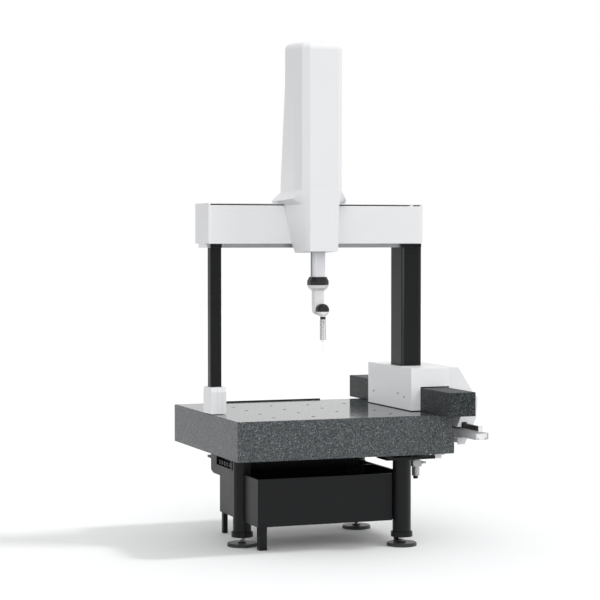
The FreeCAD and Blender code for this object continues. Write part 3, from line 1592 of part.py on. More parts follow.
def probe():
    where = ("probe_x", "ram_y - wrist_offset")
    turned("probe_ring", *where, [
        ("0", "sensor_top"), ("ring_radius", "sensor_top"), ("ring_radius", "ring_top"), ("0", "ring_top"),
    ])
    turned("probe_body", *where, [
        ("0", "sensor_bottom"),
        ("sensor_radius / 4", "sensor_bottom"),
        ("sensor_radius / 2.5", "sensor_bottom + sensor_nose"),
        ("sensor_radius - sensor_wall", "sensor_bottom + sensor_nose"),
        ("sensor_radius - sensor_wall", "sensor_bottom + sensor_nose / 2"),
        ("sensor_radius", "sensor_bottom + sensor_nose / 2"),
        ("sensor_radius", "sensor_top"),
        ("0", "sensor_top"),
    ])
    body = turned("stylus", *where, [
        ("0", "tip_z"),
        ("stylus_radius", "tip_z"),
        ("stylus_radius", "sensor_bottom - stylus_root - stylus_root_taper"),
        ("2 * stylus_radius", "sensor_bottom - stylus_root"),
        ("2 * stylus_radius", "sensor_bottom"),
        ("0", "sensor_bottom"),
    ])
    ball = new_sketch(body, "XZ")
    middle, radius = value_of("tip_z"), sizes["tip_radius"]
    centre = FreeCAD.Vector(0, middle, 0)
    quarter = math.pi / 2
    ball.addGeometry(Part.ArcOfCircle(Part.Circle(centre, FreeCAD.Vector(0, 0, 1), radius), -quarter, quarter))
    ball.addGeometry(Part.LineSegment(FreeCAD.Vector(0, middle + radius, 0), FreeCAD.Vector(0, middle - radius, 0)))
    ball.addConstraint(Sketcher.Constraint("Coincident", 0, 2, 1, 1))
    ball.addConstraint(Sketcher.Constraint("Coincident", 1, 2, 0, 1))
    ball.addConstraint(Sketcher.Constraint("PointOnObject", 0, 3, 1))
    ball.addConstraint(Sketcher.Constraint("PointOnObject", 0, 3, -2))
    ball.addConstraint(Sketcher.Constraint("PointOnObject", 0, 1, -2))
    fix(ball, "DistanceY", -1, 1, 0, 3, "tip_z")
    fix(ball, "Radius", 0, "tip_radius")
    revolve(body, ball)


makers = [
    granite_table, table_inserts, guide_rail, legs, foot_stems, foot_pads, cabinet_tub, cabinet_posts,
    controller_housing, connector_sockets, rear_guard, air_filter, regulator_knob, air_fittings, tray_brackets,
    cable_tray, y_drive_profile, y_pulleys, y_motor, belts, scales, carriage_body, air_bearings, carriage_cover,
    carriage_outer_cover, y_drive_arm, read_heads, left_foot, columns, beam_extrusion, beam_covers,
    beam_end_caps, x_motor, x_pulleys, x_saddle, head_bearings, head_cover, tower_cover, z_guide_frame, z_motor,
    z_drive_roller, ram_tube, head_stator, probe_arm, wrist, probe,
]
for make in makers:
    make()
document.recompute()

pieces = [item for item in document.Objects if item.TypeId in ("PartDesign::Body", "Part::Box")]
faults = [item.Label for item in document.Objects if "Invalid" in item.State or "Error" in item.State]
for piece in pieces:
    if piece.Shape.isNull() or not piece.Shape.isValid():
        faults.append(piece.Label + " has no valid shape")
if faults:
    raise RuntimeError("failed: " + ", ".join(faults))
for item in document.Objects:
    if item.TypeId in ("PartDesign::Pocket", "PartDesign::SubtractiveLoft"):
        if item.Shape.Volume > item.BaseFeature.Shape.Volume - 1:
            raise RuntimeError(item.Label + " cuts nothing")

os.makedirs("parts", exist_ok=True)
for piece in pieces:
    piece.Shape.exportStep(os.path.join("parts", piece.Label + ".step"))
print(len(pieces), "pieces written")
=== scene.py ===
import bpy
import math
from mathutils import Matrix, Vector


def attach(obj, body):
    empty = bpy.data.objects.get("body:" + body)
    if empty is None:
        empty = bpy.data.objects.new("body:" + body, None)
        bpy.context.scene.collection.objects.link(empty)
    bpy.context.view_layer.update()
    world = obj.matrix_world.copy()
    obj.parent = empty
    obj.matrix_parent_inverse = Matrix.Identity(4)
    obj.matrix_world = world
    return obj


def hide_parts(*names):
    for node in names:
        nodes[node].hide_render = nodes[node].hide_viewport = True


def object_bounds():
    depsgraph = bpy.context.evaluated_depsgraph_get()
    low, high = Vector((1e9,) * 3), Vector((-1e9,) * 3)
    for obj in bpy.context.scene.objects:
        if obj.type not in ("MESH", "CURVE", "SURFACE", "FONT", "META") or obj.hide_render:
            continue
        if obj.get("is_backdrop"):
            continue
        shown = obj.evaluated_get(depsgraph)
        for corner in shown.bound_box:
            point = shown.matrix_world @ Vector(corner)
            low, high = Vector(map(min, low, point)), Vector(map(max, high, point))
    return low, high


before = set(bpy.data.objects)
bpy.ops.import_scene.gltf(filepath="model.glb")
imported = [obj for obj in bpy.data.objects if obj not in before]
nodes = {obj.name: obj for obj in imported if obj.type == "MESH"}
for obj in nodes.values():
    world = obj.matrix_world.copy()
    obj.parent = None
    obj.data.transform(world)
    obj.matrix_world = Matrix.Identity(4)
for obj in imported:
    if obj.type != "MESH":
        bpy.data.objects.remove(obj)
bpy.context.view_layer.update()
print("machine loaded:", len(nodes), "parts")


# camera: stands left of the middle, a little above the table, level with the portal

cameraSettings = {
    "place": (-3.4038, -8.6739, 1.4906),
    "tilt": 88.12,  # degrees, 90 looks level
    "turn": -20.527,
    "lens": 111.96,
    "sensor": 36.0,
    "farthest": 200.0,
}


def addCamera(settings):
    turn = (math.radians(settings["tilt"]), 0.0, math.radians(settings["turn"]))
    bpy.ops.object.camera_add(location=settings["place"], rotation=turn)
    camera = bpy.context.object
    camera.name = "camera"
    camera.data.lens = settings["lens"]
    camera.data.sensor_width = settings["sensor"]
    camera.data.clip_end = settings["farthest"]
    bpy.context.scene.camera = camera


addCamera(cameraSettings)
print("camera placed")


# material helpers

# factor, first, second and result of a Mix node
mixSockets = {"FLOAT": (0, 2, 3, 0), "RGBA": (0, 6, 7, 2)}


def newMaterial(name):
    material = bpy.data.materials.new(name)
    material.use_nodes = True
    tree = material.node_tree
    tree.nodes.clear()
    shader = tree.nodes.new("ShaderNodeBsdfPrincipled")
    output = tree.nodes.new("ShaderNodeOutputMaterial")
    tree.links.new(shader.outputs["BSDF"], output.inputs["Surface"])
    return material, tree, shader


def newGroup(name, numbers, results):
    group = bpy.data.node_groups.new(name, "ShaderNodeTree")
    group.interface.new_socket("Vector", in_out="INPUT", socket_type="NodeSocketVector")
    for label, value in numbers.items():
        socket = group.interface.new_socket(label, in_out="INPUT", socket_type="NodeSocketFloat")
        socket.default_value = value
    for label in results:
        group.interface.new_socket(label, in_out="OUTPUT", socket_type="NodeSocketFloat")
    return group, group.nodes.new("NodeGroupInput"), group.nodes.new("NodeGroupOutput")


def plug(tree, socket, value):
    if isinstance(value, (int, float)):
        socket.default_value = value
    elif isinstance(value, tuple):
        socket.default_value = (*value, 1.0)
    else:
        tree.links.new(value, socket)


def calculate(tree, operation, *values):
    node = tree.nodes.new("ShaderNodeMath")
    node.operation = operation
    for socket, value in zip(node.inputs, values):
        plug(tree, socket, value)
    return node.outputs[0]


def mixed(tree, kind, factor, first, second):
    node = tree.nodes.new("ShaderNodeMix")
    node.data_type = kind
    *inputs, result = mixSockets[kind]
    for number, value in zip(inputs, (factor, first, second)):
        plug(tree, node.inputs[number], value)
    return node.outputs[result]


def mapRange(tree, value, low, high, toLow, toHigh):
    node = tree.nodes.new("ShaderNodeMapRange")
    tree.links.new(value, node.inputs["Value"])
    for label, number in (("From Min", low), ("From Max", high), ("To Min", toLow), ("To Max", toHigh)):
        node.inputs[label].default_value = number
    return node.outputs["Result"]


def addTexture(tree, kind, place, scale, **values):
    node = tree.nodes.new(kind)
    tree.links.new(place, node.inputs["Vector"])
    plug(tree, node.inputs["Scale"], scale)
    for label, value in values.items():
        node.inputs[label].default_value = value
    return node


def addNoise(tree, place, scale, **values):
    return addTexture(tree, "ShaderNodeTexNoise", place, scale, **values).outputs


def addCells(tree, place, scale):
    cells = addTexture(tree, "ShaderNodeTexVoronoi", place, scale)
    parts = tree.nodes.new("ShaderNodeSeparateColor")
    tree.links.new(cells.outputs["Color"], parts.inputs[0])
    return parts.outputs  # three random numbers for each cell


# shared effects

stoneEffect = {
    "warp": {"Detail": 2.0, "Roughness": 0.6},
    "coarseSize": 2.3,  # coarse grains, measured in fine ones
    "coarseLightLess": 0.1,  # their light share is smaller by this
    "coarseDarkPart": 0.6,  # their dark share is this part of the fine ones'
    "grainTone": 0.6,
    "cloudTone": 0.4,
    "cloudScale": 9.0,
    "cloud": {"Detail": 5.0, "Roughness": 0.6},
}

textureEffect = {
    "fine": {"Detail": 3.0, "Roughness": 0.55},
    "patches": {"Detail": 4.0, "Roughness": 0.5, "Distortion": 0.6},
}

linesEffect = {
    "fine": {"Detail": 3.0, "Roughness": 0.7},
    "wide": {"Detail": 2.0, "Roughness": 0.5},
    "wideSize": 9.0,  # streaks, measured in fine lines
}


def makeStoneGroup(settings):
    numbers = {"Grain Size": 0.004, "Light Share": 0.2, "Dark Share": 0.3}
    group, start, end = newGroup("stoneGrains", numbers, ["Light", "Dark", "Tone"])
    place = start.outputs["Vector"]
    grainSize = start.outputs["Grain Size"]
    scale = calculate(group, "DIVIDE", 1.0, grainSize)
    warp = addNoise(group, place, scale, **settings["warp"])
    reach = group.nodes.new("ShaderNodeCombineXYZ")
    for socket in reach.inputs:
        group.links.new(grainSize, socket)
    warped = group.nodes.new("ShaderNodeVectorMath")
    warped.operation = "MULTIPLY_ADD"
    for socket, value in zip(warped.inputs, (warp["Color"], reach.outputs[0], place)):
        group.links.new(value, socket)
    fine = addCells(group, warped.outputs[0], scale)
    coarseScale = calculate(group, "DIVIDE", scale, settings["coarseSize"])
    coarse = addCells(group, warped.outputs[0], coarseScale)

    lightLine = calculate(group, "SUBTRACT", 1.0, start.outputs["Light Share"])
    coarseLightLine = calculate(group, "ADD", lightLine, settings["coarseLightLess"])
    light = calculate(group, "MAXIMUM", calculate(group, "GREATER_THAN", fine[0], lightLine),
                      calculate(group, "GREATER_THAN", coarse[0], coarseLightLine))
    darkLine = start.outputs["Dark Share"]
    coarseDarkLine = calculate(group, "MULTIPLY", darkLine, settings["coarseDarkPart"])
    dark = calculate(group, "MAXIMUM", calculate(group, "LESS_THAN", fine[1], darkLine),
                     calculate(group, "LESS_THAN", coarse[1], coarseDarkLine))
    cloud = addNoise(group, place, settings["cloudScale"], **settings["cloud"])
    tone = calculate(group, "ADD", calculate(group, "MULTIPLY", fine[2], settings["grainTone"]),
                     calculate(group, "MULTIPLY", cloud["Fac"], settings["cloudTone"]))
    for label, value in (("Light", light), ("Dark", dark), ("Tone", tone)):
        group.links.new(value, end.inputs[label])
    return group


def makeTextureGroup(settings):
    group, start, end = newGroup("fineTexture", {"Size": 0.001, "Patch Size": 0.3}, ["Height", "Patches"])
    for label, size, name in (("Height", "Size", "fine"), ("Patches", "Patch Size", "patches")):
        scale = calculate(group, "DIVIDE", 1.0, start.outputs[size])
        noise = addNoise(group, start.outputs["Vector"], scale, **settings[name])
        group.links.new(noise["Fac"], end.inputs[label])
    return group


def makeLinesGroup(settings):
    group, start, end = newGroup("drawnLines", {"Scale": 600.0}, ["Lines", "Streaks"])
    scale = start.outputs["Scale"]
    wideScale = calculate(group, "DIVIDE", scale, settings["wideSize"])
    for label, size, name in (("Lines", scale, "fine"), ("Streaks", wideScale, "wide")):
        noise = addNoise(group, start.outputs["Vector"], size, **settings[name])
        group.links.new(noise["Fac"], end.inputs[label])
    return group


stoneGroup = makeStoneGroup(stoneEffect)
textureGroup = makeTextureGroup(textureEffect)
linesGroup = makeLinesGroup(linesEffect)


def placeGroup(tree, group, place, values):
    node = tree.nodes.new("ShaderNodeGroup")
    node.node_tree = group
    tree.links.new(place, node.inputs["Vector"])
    for label, value in values.items():
        node.inputs[label].default_value = value
    return node.outputs


def objectPlace(tree, stretch=None):
    place = tree.nodes.new("ShaderNodeTexCoord").outputs["Object"]
    if stretch is None:
        return place
    mapping = tree.nodes.new("ShaderNodeMapping")
    mapping.inputs["Scale"].default_value = stretch
    tree.links.new(place, mapping.inputs["Vector"])
    return mapping.outputs["Vector"]


def addBump(tree, shader, height, strength, distance):
    bump = tree.nodes.new("ShaderNodeBump")
    bump.inputs["Strength"].default_value = strength
    bump.inputs["Distance"].default_value = distance
    tree.links.new(height, bump.inputs["Height"])
    tree.links.new(bump.outputs["Normal"], shader.inputs["Normal"])


def shades(colour, darker, lighter):
    return tuple(c * darker for c in colour), tuple(min(1.0, c * lighter) for c in colour)


materials = {}


# stone: the table's top is polished, the rail and all sides are ground

stoneLook = {
    "darker": 0.72,  # shades of the ground mass
    "lighter": 1.32,
    "sideNormal": 0.6,  # upward part of the normal, from a side to a top
    "topNormal": 0.9,
    "darkGrainGloss": -0.04,
    "bumpStrength": 0.02,
    "bumpDepth": 0.0001,
}

stoneSettings = {
    "table_granite": {
        "body": (0.062, 0.071, 0.075),
        "light": (0.17, 0.183, 0.19),
        "dark": (0.016, 0.019, 0.021),
        "grain": 0.0024,
        "lightShare": 0.16,
        "darkShare": 0.3,
        "topRough": 0.13,
        "sideRough": 0.4,
        "specular": 0.5,
    },
    "rail_granite": {
        "body": (0.036, 0.043, 0.0445),
        "light": (0.185, 0.2, 0.206),
        "dark": (0.012, 0.0145, 0.0155),
        "grain": 0.0021,
        "lightShare": 0.1,
        "darkShare": 0.4,
        "topRough": 0.5,
        "sideRough": 0.5,
        "specular": 0.22,
    },
}


def makeStone(name, settings, look):
    material, tree, shader = newMaterial(name)
    grains = placeGroup(tree, stoneGroup, objectPlace(tree), {
        "Grain Size": settings["grain"],
        "Light Share": settings["lightShare"],
        "Dark Share": settings["darkShare"],
    })
    ground = shades(settings["body"], look["darker"], look["lighter"])
    colour = mixed(tree, "RGBA", grains["Tone"], *ground)
    colour = mixed(tree, "RGBA", grains["Dark"], colour, settings["dark"])
    colour = mixed(tree, "RGBA", grains["Light"], colour, settings["light"])
    tree.links.new(colour, shader.inputs["Base Color"])
    facing = tree.nodes.new("ShaderNodeSeparateXYZ")
    tree.links.new(tree.nodes.new("ShaderNodeNewGeometry").outputs["Normal"], facing.inputs[0])
    rough = mapRange(tree, facing.outputs["Z"], look["sideNormal"], look["topNormal"],
                     settings["sideRough"], settings["topRough"])
    rough = calculate(tree, "MULTIPLY_ADD", grains["Dark"], look["darkGrainGloss"], rough)
    tree.links.new(rough, shader.inputs["Roughness"])
    shader.inputs["Specular IOR Level"].default_value = settings["specular"]
    addBump(tree, shader, grains["Light"], look["bumpStrength"], look["bumpDepth"])
    return material


for name, settings in stoneSettings.items():
    materials[name] = makeStone(name, settings, stoneLook)
print("stone finishes made")


# painted, moulded and metal finishes

noiseRange = (0.3, 0.7)  # where most of a noise lies

coatLook = {"roughSpread": 0.04, "bumpStrength": 0.35}
coatDefaults = {"grain": 0.0016, "depth": 0.00003, "shift": 0.012, "patch": 0.35, "metallic": 0.0,
                "specular": 0.5}
coatSettings = {
    "cover_white": {"colour": (0.815, 0.82, 0.835), "rough": 0.38},
    # the carriage's white is a lighter copy of the cover white: painted light that lifts the carriage out of
    # the shade under the beam
    "carriage_white_painted_light": {"colour": (0.865, 0.87, 0.885), "rough": 0.38},
    "cap_white": {"colour": (0.83, 0.835, 0.845), "rough": 0.42},
    # lighter than the covers: painted highlight on their rounded edges
    "edge_white_painted_highlight": {"colour": (0.9, 0.903, 0.91), "rough": 0.2, "depth": 0.00001, "shift": 0.01},
    "probe_white": {"colour": (0.78, 0.785, 0.79), "rough": 0.3, "grain": 0.0008, "depth": 0.00001,
                    "shift": 0.015},
    "stylus_white": {"colour": (0.82, 0.76, 0.74), "rough": 0.25, "grain": 0.0005, "depth": 0.000005,
                     "shift": 0.02},
    "slide_plate_grey": {"colour": (0.3, 0.31, 0.32), "rough": 0.4, "grain": 0.001, "depth": 0.00004,
                         "shift": 0.04},
    "cast_alloy": {"colour": (0.5, 0.505, 0.51), "rough": 0.36, "grain": 0.0018, "depth": 0.0001, "shift": 0.25,
                   "patch": 0.02, "metallic": 0.7},
    "enamel_black": {"colour": (0.006, 0.0066, 0.0076), "rough": 0.4, "grain": 0.0011, "depth": 0.00006,
                     "shift": 0.12, "specular": 0.29},
    "foot_black": {"colour": (0.036, 0.0375, 0.04), "rough": 0.4, "grain": 0.0014, "depth": 0.00008,
                   "shift": 0.15},
    "probe_black": {"colour": (0.02, 0.0205, 0.022), "rough": 0.4, "grain": 0.0008, "shift": 0.1},
    "motor_black": {"colour": (0.03, 0.031, 0.034), "rough": 0.45, "grain": 0.0009, "shift": 0.1},
    "belt_rubber": {"colour": (0.018, 0.018, 0.019), "rough": 0.75, "grain": 0.0006, "depth": 0.00008,
                    "shift": 0.15, "specular": 0.3},
}

drawnLook = {"roughSpread": 0.06, "bumpStrength": 0.25, "lineStretch": 0.02}
drawnDefaults = {"along": "z", "lines": 900.0, "metallic": 0.0, "depth": 0.00002, "shift": 0.08,
                 "specular": 0.5}
drawnSettings = {
    "ram_ceramic": {"colour": (0.76, 0.77, 0.79), "rough": 0.34, "lines": 700.0, "shift": 0.03},
    "column_black": {"colour": (0.0078, 0.0084, 0.009), "rough": 0.36, "lines": 500.0, "shift": 0.12,
                     "specular": 0.28},
    "anodised_black": {"colour": (0.018, 0.0185, 0.02), "rough": 0.4, "along": "x", "lines": 600.0,
                       "shift": 0.12},
    # lighter than the column's black: painted highlight along the right column's edges
    "strip_black_painted_highlight": {"colour": (0.03, 0.031, 0.033), "rough": 0.3, "lines": 500.0},
    # near-black and without gloss: painted shade of the bush holes, on inserts that are steel
    "insert_steel_painted_shade": {"colour": (0.03, 0.0305, 0.032), "rough": 0.7, "lines": 1200.0, "specular": 0.0},
    "grey_aluminium": {"colour": (0.5, 0.505, 0.515), "rough": 0.42, "along": "x", "lines": 700.0,
                       "metallic": 0.75},
    "bright_profile": {"colour": (0.9, 0.905, 0.91), "rough": 0.3, "along": "y", "lines": 700.0,
                       "metallic": 0.08},
    "scale_grey": {"colour": (0.2, 0.203, 0.207), "rough": 0.4, "metallic": 0.3},
    "screw_steel": {"colour": (0.3, 0.303, 0.306), "rough": 0.36, "metallic": 0.8},
    "bright_steel": {"colour": (0.68, 0.685, 0.69), "rough": 0.26, "metallic": 1.0},
    "turned_steel": {"colour": (0.86, 0.865, 0.87), "rough": 0.2, "lines": 1600.0, "metallic": 1.0,
                     "depth": 0.00001},
}


def finishSurface(tree, shader, settings, look, tint, gloss, height):
    shift = settings["shift"]
    colour = mixed(tree, "RGBA", tint, *shades(settings["colour"], 1.0 - shift, 1.0 + shift))
    tree.links.new(colour, shader.inputs["Base Color"])
    low, high = settings["rough"] - look["roughSpread"], settings["rough"] + look["roughSpread"]
    tree.links.new(mapRange(tree, gloss, *noiseRange, low, high), shader.inputs["Roughness"])
    shader.inputs["Metallic"].default_value = settings["metallic"]
    shader.inputs["Specular IOR Level"].default_value = settings["specular"]
    addBump(tree, shader, height, look["bumpStrength"], settings["depth"])


def makeCoat(name, settings, look):
    material, tree, shader = newMaterial(name)
    effect = placeGroup(tree, textureGroup, objectPlace(tree),
                        {"Size": settings["grain"], "Patch Size": settings["patch"]})
    finishSurface(tree, shader, settings, look, effect["Patches"], effect["Patches"], effect["Height"])
    return material


def makeDrawn(name, settings, look):
    material, tree, shader = newMaterial(name)
    stretch = [look["lineStretch"] if axis == settings["along"] else 1.0 for axis in "xyz"]
    effect = placeGroup(tree, linesGroup, objectPlace(tree, stretch), {"Scale": settings["lines"]})
    finishSurface(tree, shader, settings, look, effect["Streaks"], effect["Lines"], effect["Lines"])
    return material


for name, settings in coatSettings.items():
    materials[name] = makeCoat(name, {**coatDefaults, **settings}, coatLook)
for name, settings in drawnSettings.items():
    materials[name] = makeDrawn(name, {**drawnDefaults, **settings}, drawnLook)
print("coat, plastic and metal finishes made")


finishes = {
    "table_granite": ["granite_table"],
    "rail_granite": ["guide_rail"],
    "insert_steel_painted_shade": ["table_inserts"],
    "cover_white": ["carriage_outer_cover", "left_foot_cover", "beam_front_cover", "beam_top_cover",
                    "beam_rear_cover", "head_cover", "tower_cover"],
    "carriage_white_painted_light": ["carriage_cover"],
    "cap_white": ["beam_end_caps"],
    "probe_white": ["probe_arm", "wrist_shell"],
    "stylus_white": ["stylus"],
    "slide_plate_grey": ["tray_brackets"],
    "cast_alloy": ["air_filter"],
    "enamel_black": ["leg_left", "leg_front_right", "leg_rear_right", "cabinet_tub", "cabinet_posts",
                     "controller_housing"],
    "foot_black": ["foot_pads"],
    "probe_black": ["head_stator", "wrist_cap", "probe_ring"],
    "motor_black": ["connector_sockets", "regulator_knob", "y_read_head", "x_read_head", "y_motor",
                    "x_motor", "z_motor"],
    "belt_rubber": ["y_belt", "x_belt"],
    "ram_ceramic": ["ram_tube"],
    "column_black": ["left_column", "right_column"],
    "anodised_black": ["rear_guard", "y_drive_profile"],
    "grey_aluminium": ["carriage_body", "y_drive_arm", "left_foot_body", "beam_extrusion", "x_saddle",
                       "z_guide_frame"],
    "bright_profile": ["cable_tray"],
    "bright_steel": ["foot_stems", "air_fittings", "y_idler_pulley", "y_drive_pulley", "y_scale", "x_scale",
                     "air_bearings", "x_idler_pulley", "x_drive_pulley", "head_bearings", "z_drive_roller"],
    "turned_steel": ["probe_body"],
}

finishOf = {nodeName: finish for finish, nodeNames in finishes.items() for nodeName in nodeNames}
for nodeName, part in nodes.items():
    part.data.materials.clear()
    part.data.materials.append(materials[finishOf[nodeName]])
print("finishes put on", len(nodes), "parts")


# modelling helpers for the small fitted pieces, all in millimetres

facingShare = 0.95  # a face looks in a direction when its normal does by this much
smoothAngle = 35.0
frontward = (0.0, -1.0, 0.0)
upward = (0.0, 0.0, 1.0)
perMetre = 1000.0


def millimetres(values):
    return tuple(value / perMetre for value in values)


def startFresh():
    if bpy.context.mode != "OBJECT":
        bpy.ops.object.mode_set(mode="OBJECT")
    bpy.ops.object.select_all(action="DESELECT")
    bpy.context.tool_settings.mesh_select_mode = (False, False, True)


def settle():
    bpy.ops.object.transform_apply(location=True, rotation=True, scale=True)
    return bpy.context.object


def addBlock(low, high):
    startFresh()
    middle = millimetres([(a + b) / 2.0 for a, b in zip(low, high)])
    bpy.ops.mesh.primitive_cube_add(size=1.0, location=middle)
    bpy.context.object.scale = millimetres([b - a for a, b in zip(low, high)])
    return settle()


def addRod(start, length, radius, axis, sides, ends="NGON"):
    startFresh()
    turns = {"x": (0.0, math.pi / 2.0, 0.0), "y": (math.pi / 2.0, 0.0, 0.0), "z": (0.0, 0.0, 0.0)}
    middle = list(start)
    middle["xyz".index(axis)] += length / 2.0
    bpy.ops.mesh.primitive_cylinder_add(vertices=sides, radius=radius / perMetre, depth=abs(length) / perMetre,
                                        location=millimetres(middle), rotation=turns[axis],
                                        end_fill_type=ends)
    return settle()


def editFaces(piece, test, action):
    mesh = piece.data
    for items in (mesh.vertices, mesh.edges, mesh.polygons):
        items.foreach_set("select", [False] * len(items))
    for face in mesh.polygons:
        face.select = bool(test(face.center, face.normal))
    bpy.context.view_layer.objects.active = piece
    bpy.ops.object.mode_set(mode="EDIT")
    action()
    bpy.ops.object.mode_set(mode="OBJECT")


def pushFaces(offset):
    bpy.ops.mesh.extrude_region_move(TRANSFORM_OT_translate={"value": tuple(offset)})


def sinkPanel(piece, direction, border, depth):
    toward = Vector(direction)

    def press():
        bpy.ops.mesh.inset(thickness=border / perMetre)
        pushFaces(toward * (-depth / perMetre))

    editFaces(piece, lambda centre, normal: normal.dot(toward) > facingShare, press)


def applied(piece, kind, **values):
    bpy.context.view_layer.objects.active = piece
    modifier = piece.modifiers.new(kind.lower(), kind)
    for key, value in values.items():
        setattr(modifier, key, value)
    bpy.ops.object.modifier_apply(modifier=modifier.name)


def roundEdges(piece, width, steps=2):
    applied(piece, "BEVEL", width=width / perMetre, segments=steps, limit_method="ANGLE")


def thicken(piece, wall):
    applied(piece, "SOLIDIFY", thickness=wall / perMetre, offset=-1.0)  # the wall grows inwards


def joined(parts):
    startFresh()
    for part in parts:
        part.select_set(True)
    bpy.context.view_layer.objects.active = parts[0]
    if len(parts) > 1:
        bpy.ops.object.join()
    return bpy.context.object


def copied(piece, offset):
    twin = piece.copy()
    twin.data = piece.data.copy()
    bpy.context.collection.objects.link(twin)
    startFresh()
    twin.select_set(True)
    bpy.context.view_layer.objects.active = twin
    bpy.ops.transform.translate(value=millimetres(offset))
    return settle()


def copiedTo(piece, start, places):
    return [copied(piece, [b - a for a, b in zip(start, place)]) for place in places]


def fitted(parts, name, finish, body):
    piece = joined(parts)
    piece.name = name
    bpy.ops.object.shade_smooth_by_angle(angle=math.radians(smoothAngle))
    piece.data.materials.clear()
    piece.data.materials.append(materials[finish])
    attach(piece, body)
    return piece


def addPlates(settings):
    plates = []
    for low, high in settings["places"]:
        plate = addBlock(low, high)
        if "border" in settings:
            sinkPanel(plate, frontward, settings["border"], settings["sink"])
        roundEdges(plate, settings["edge"])
        plates.append(plate)
    return plates


screwShape = {
    "sides": 24,
    "border": 0.45,  # of the radius
    "sink": 0.6,  # of the height
    "edge": 0.12,
}


def addScrewRow(places, axis, outward, size, shape=screwShape):
    radius, height = size
    head = addRod(places[0], height * outward, radius, axis, shape["sides"])
    direction = [float(outward) if label == axis else 0.0 for label in "xyz"]
    sinkPanel(head, direction, radius * shape["border"], height * shape["sink"])
    roundEdges(head, height * shape["edge"])
    return [head, *copiedTo(head, places[0], places[1:])]


# screws of the covers

coverScrews = {
    "size": (4.6, 2.0),  # radius and height
    "left": [(314.5, 173.1, 709.5), (314.5, -138.5, 719.8), (314.5, -213.0, 707.2)],
    "rear": [(352.0, 248.0, 690.0), (352.0, 248.0, 820.0), (480.0, 248.0, 820.0)],
    "beamRear": [(x, 76.0, z) for z in (1485.0, 1640.0) for x in (-620.0, -370.0, -114.0, 142.0, 395.0)],
}


def addCoverScrews(settings):
    for group, axis, outward, name, finish in (
        ("left", "x", -1, "carriage_cover_screws", "screw_steel"),
        ("rear", "y", 1, "carriage_rear_screws", "bright_steel"),
        ("beamRear", "y", 1, "beam_rear_screws", "bright_steel"),
    ):
        screws = addScrewRow(settings[group], axis, outward, settings["size"])
        fitted(screws, name, finish, "bridge")


addCoverScrews(coverScrews)
print("cover screws set")


# rounded edges of the covers, in a lighter and glossier white than the covers: real rounding with a painted
# highlight along the edges

edgeBeads = {
    "radius": 4.0,
    "sides": 20,
    "edge": 1.6,
    "edgeSteps": 3,
    "carriage": [((318.1, -299.4, 650.0), 200.8, "z"), ((318.1, -301.4, 849.4), 548.6, "y"),
                 ((318.1, 244.4, 650.0), 200.8, "z"), ((316.1, -299.4, 849.4), 200.0, "x")],
    "beam": [((-662.0, -132.5, 1469.0), 181.0, "z"), ((434.0, -132.5, 1469.0), 181.0, "z"),
             ((-663.0, -132.5, 1648.4), 1098.0, "x")],
}


def addBeads(settings, group, name):
    beads = []
    for start, length, axis in settings[group]:
        bead = addRod(start, length, settings["radius"], axis, settings["sides"])
        roundEdges(bead, settings["edge"], settings["edgeSteps"])
        beads.append(bead)
    fitted(beads, name, "edge_white_painted_highlight", "bridge")


addBeads(edgeBeads, "carriage", "carriage_edges")
addBeads(edgeBeads, "beam", "beam_cover_edges")
print("cover edges rounded")


# plates between the columns and the beam, and the stop in the beam's upper slot

columnPlates = {
    "places": [((348.2, -105.8, 1447.2), (454.8, -86.2, 1466.7)),
               ((-649.3, -91.5, 1447.2), (-593.7, -86.2, 1466.7))],
    "border": 3.0,
    "sink": 0.8,
    "edge": 0.4,
}

slotStop = {
    "places": [((380.0, -134.0, 1652.2), (397.0, -118.0, 1657.8))],
    "border": 1.2,
    "sink": 0.6,
    "edge": 0.4,
}

fitted(addPlates(columnPlates), "column_head_plates", "column_black", "bridge")
fitted(addPlates(slotStop), "beam_slot_stop", "cap_white", "bridge")
print("column plates set")


# ends of the drive profile and of the cable tray, and the angle at the leg plate

profileCap = {
    "places": [((590.6, -487.5, 548.5), (612.4, -482.2, 579.0))],
    "border": 2.5,
    "sink": 1.0,
    "edge": 0.6,
}

trayPlate = {
    "places": [((544.0, -562.0, 520.0), (598.0, -558.2, 549.0))],
    "border": 4.0,
    "sink": 1.2,
    "edge": 0.5,
    "screwSize": (2.6, 2.0),
    "screws": [(552.0, -562.0, 524.5), (590.0, -562.0, 524.5)],
}

plateAngle = {
    "low": (378.8, -441.0, 423.5),
    "high": (414.0, -396.0, 453.7),
    "stepAt": 439.5,  # above this height the angle reaches further right
    "reach": 16.0,
    "edge": 0.8,
}


def addTrayEnds(cap, plate):
    plates = addPlates(cap) + addPlates(plate)
    fitted(plates, "tray_end_plates", "bright_profile", "base")
    screws = addScrewRow(plate["screws"], "y", -1, plate["screwSize"])
    fitted(screws, "tray_end_screws", "motor_black", "base")


def addPlateAngle(settings):
    angle = addBlock(settings["low"], settings["high"])
    level = settings["stepAt"] / perMetre

    def divide():
        bpy.ops.mesh.bisect(plane_co=(0.0, 0.0, level), plane_no=upward)

    def reachOut():
        pushFaces(millimetres((settings["reach"], 0.0, 0.0)))

    editFaces(angle, lambda centre, normal: True, divide)
    editFaces(angle, lambda centre, normal: normal.x > facingShare and centre.z > level, reachOut)
    roundEdges(angle, settings["edge"])
    fitted([angle], "leg_plate_angle", "bright_profile", "base")


addTrayEnds(profileCap, trayPlate)
addPlateAngle(plateAngle)
print("tray ends set")


# threads of the levelling feet, and the edging where the rear leg passes the cabinet

footThreads = {
    "legs": [(-503.5, -126.0), (230.5, -379.0), (230.5, 204.0)],
    "start": 23.0,
    "turns": 7,
    "pitch": 2.0,
    "radius": 10.6,
    "root": 0.93,  # of the radius
    "sides": 36,
}

legEdging = {
    "leg": (230.5, 204.0),
    "start": 126.0,
    "height": 224.0,
    "radius": 47.6,
    "wall": 2.6,
    "sides": 64,
    "edge": 0.5,
}


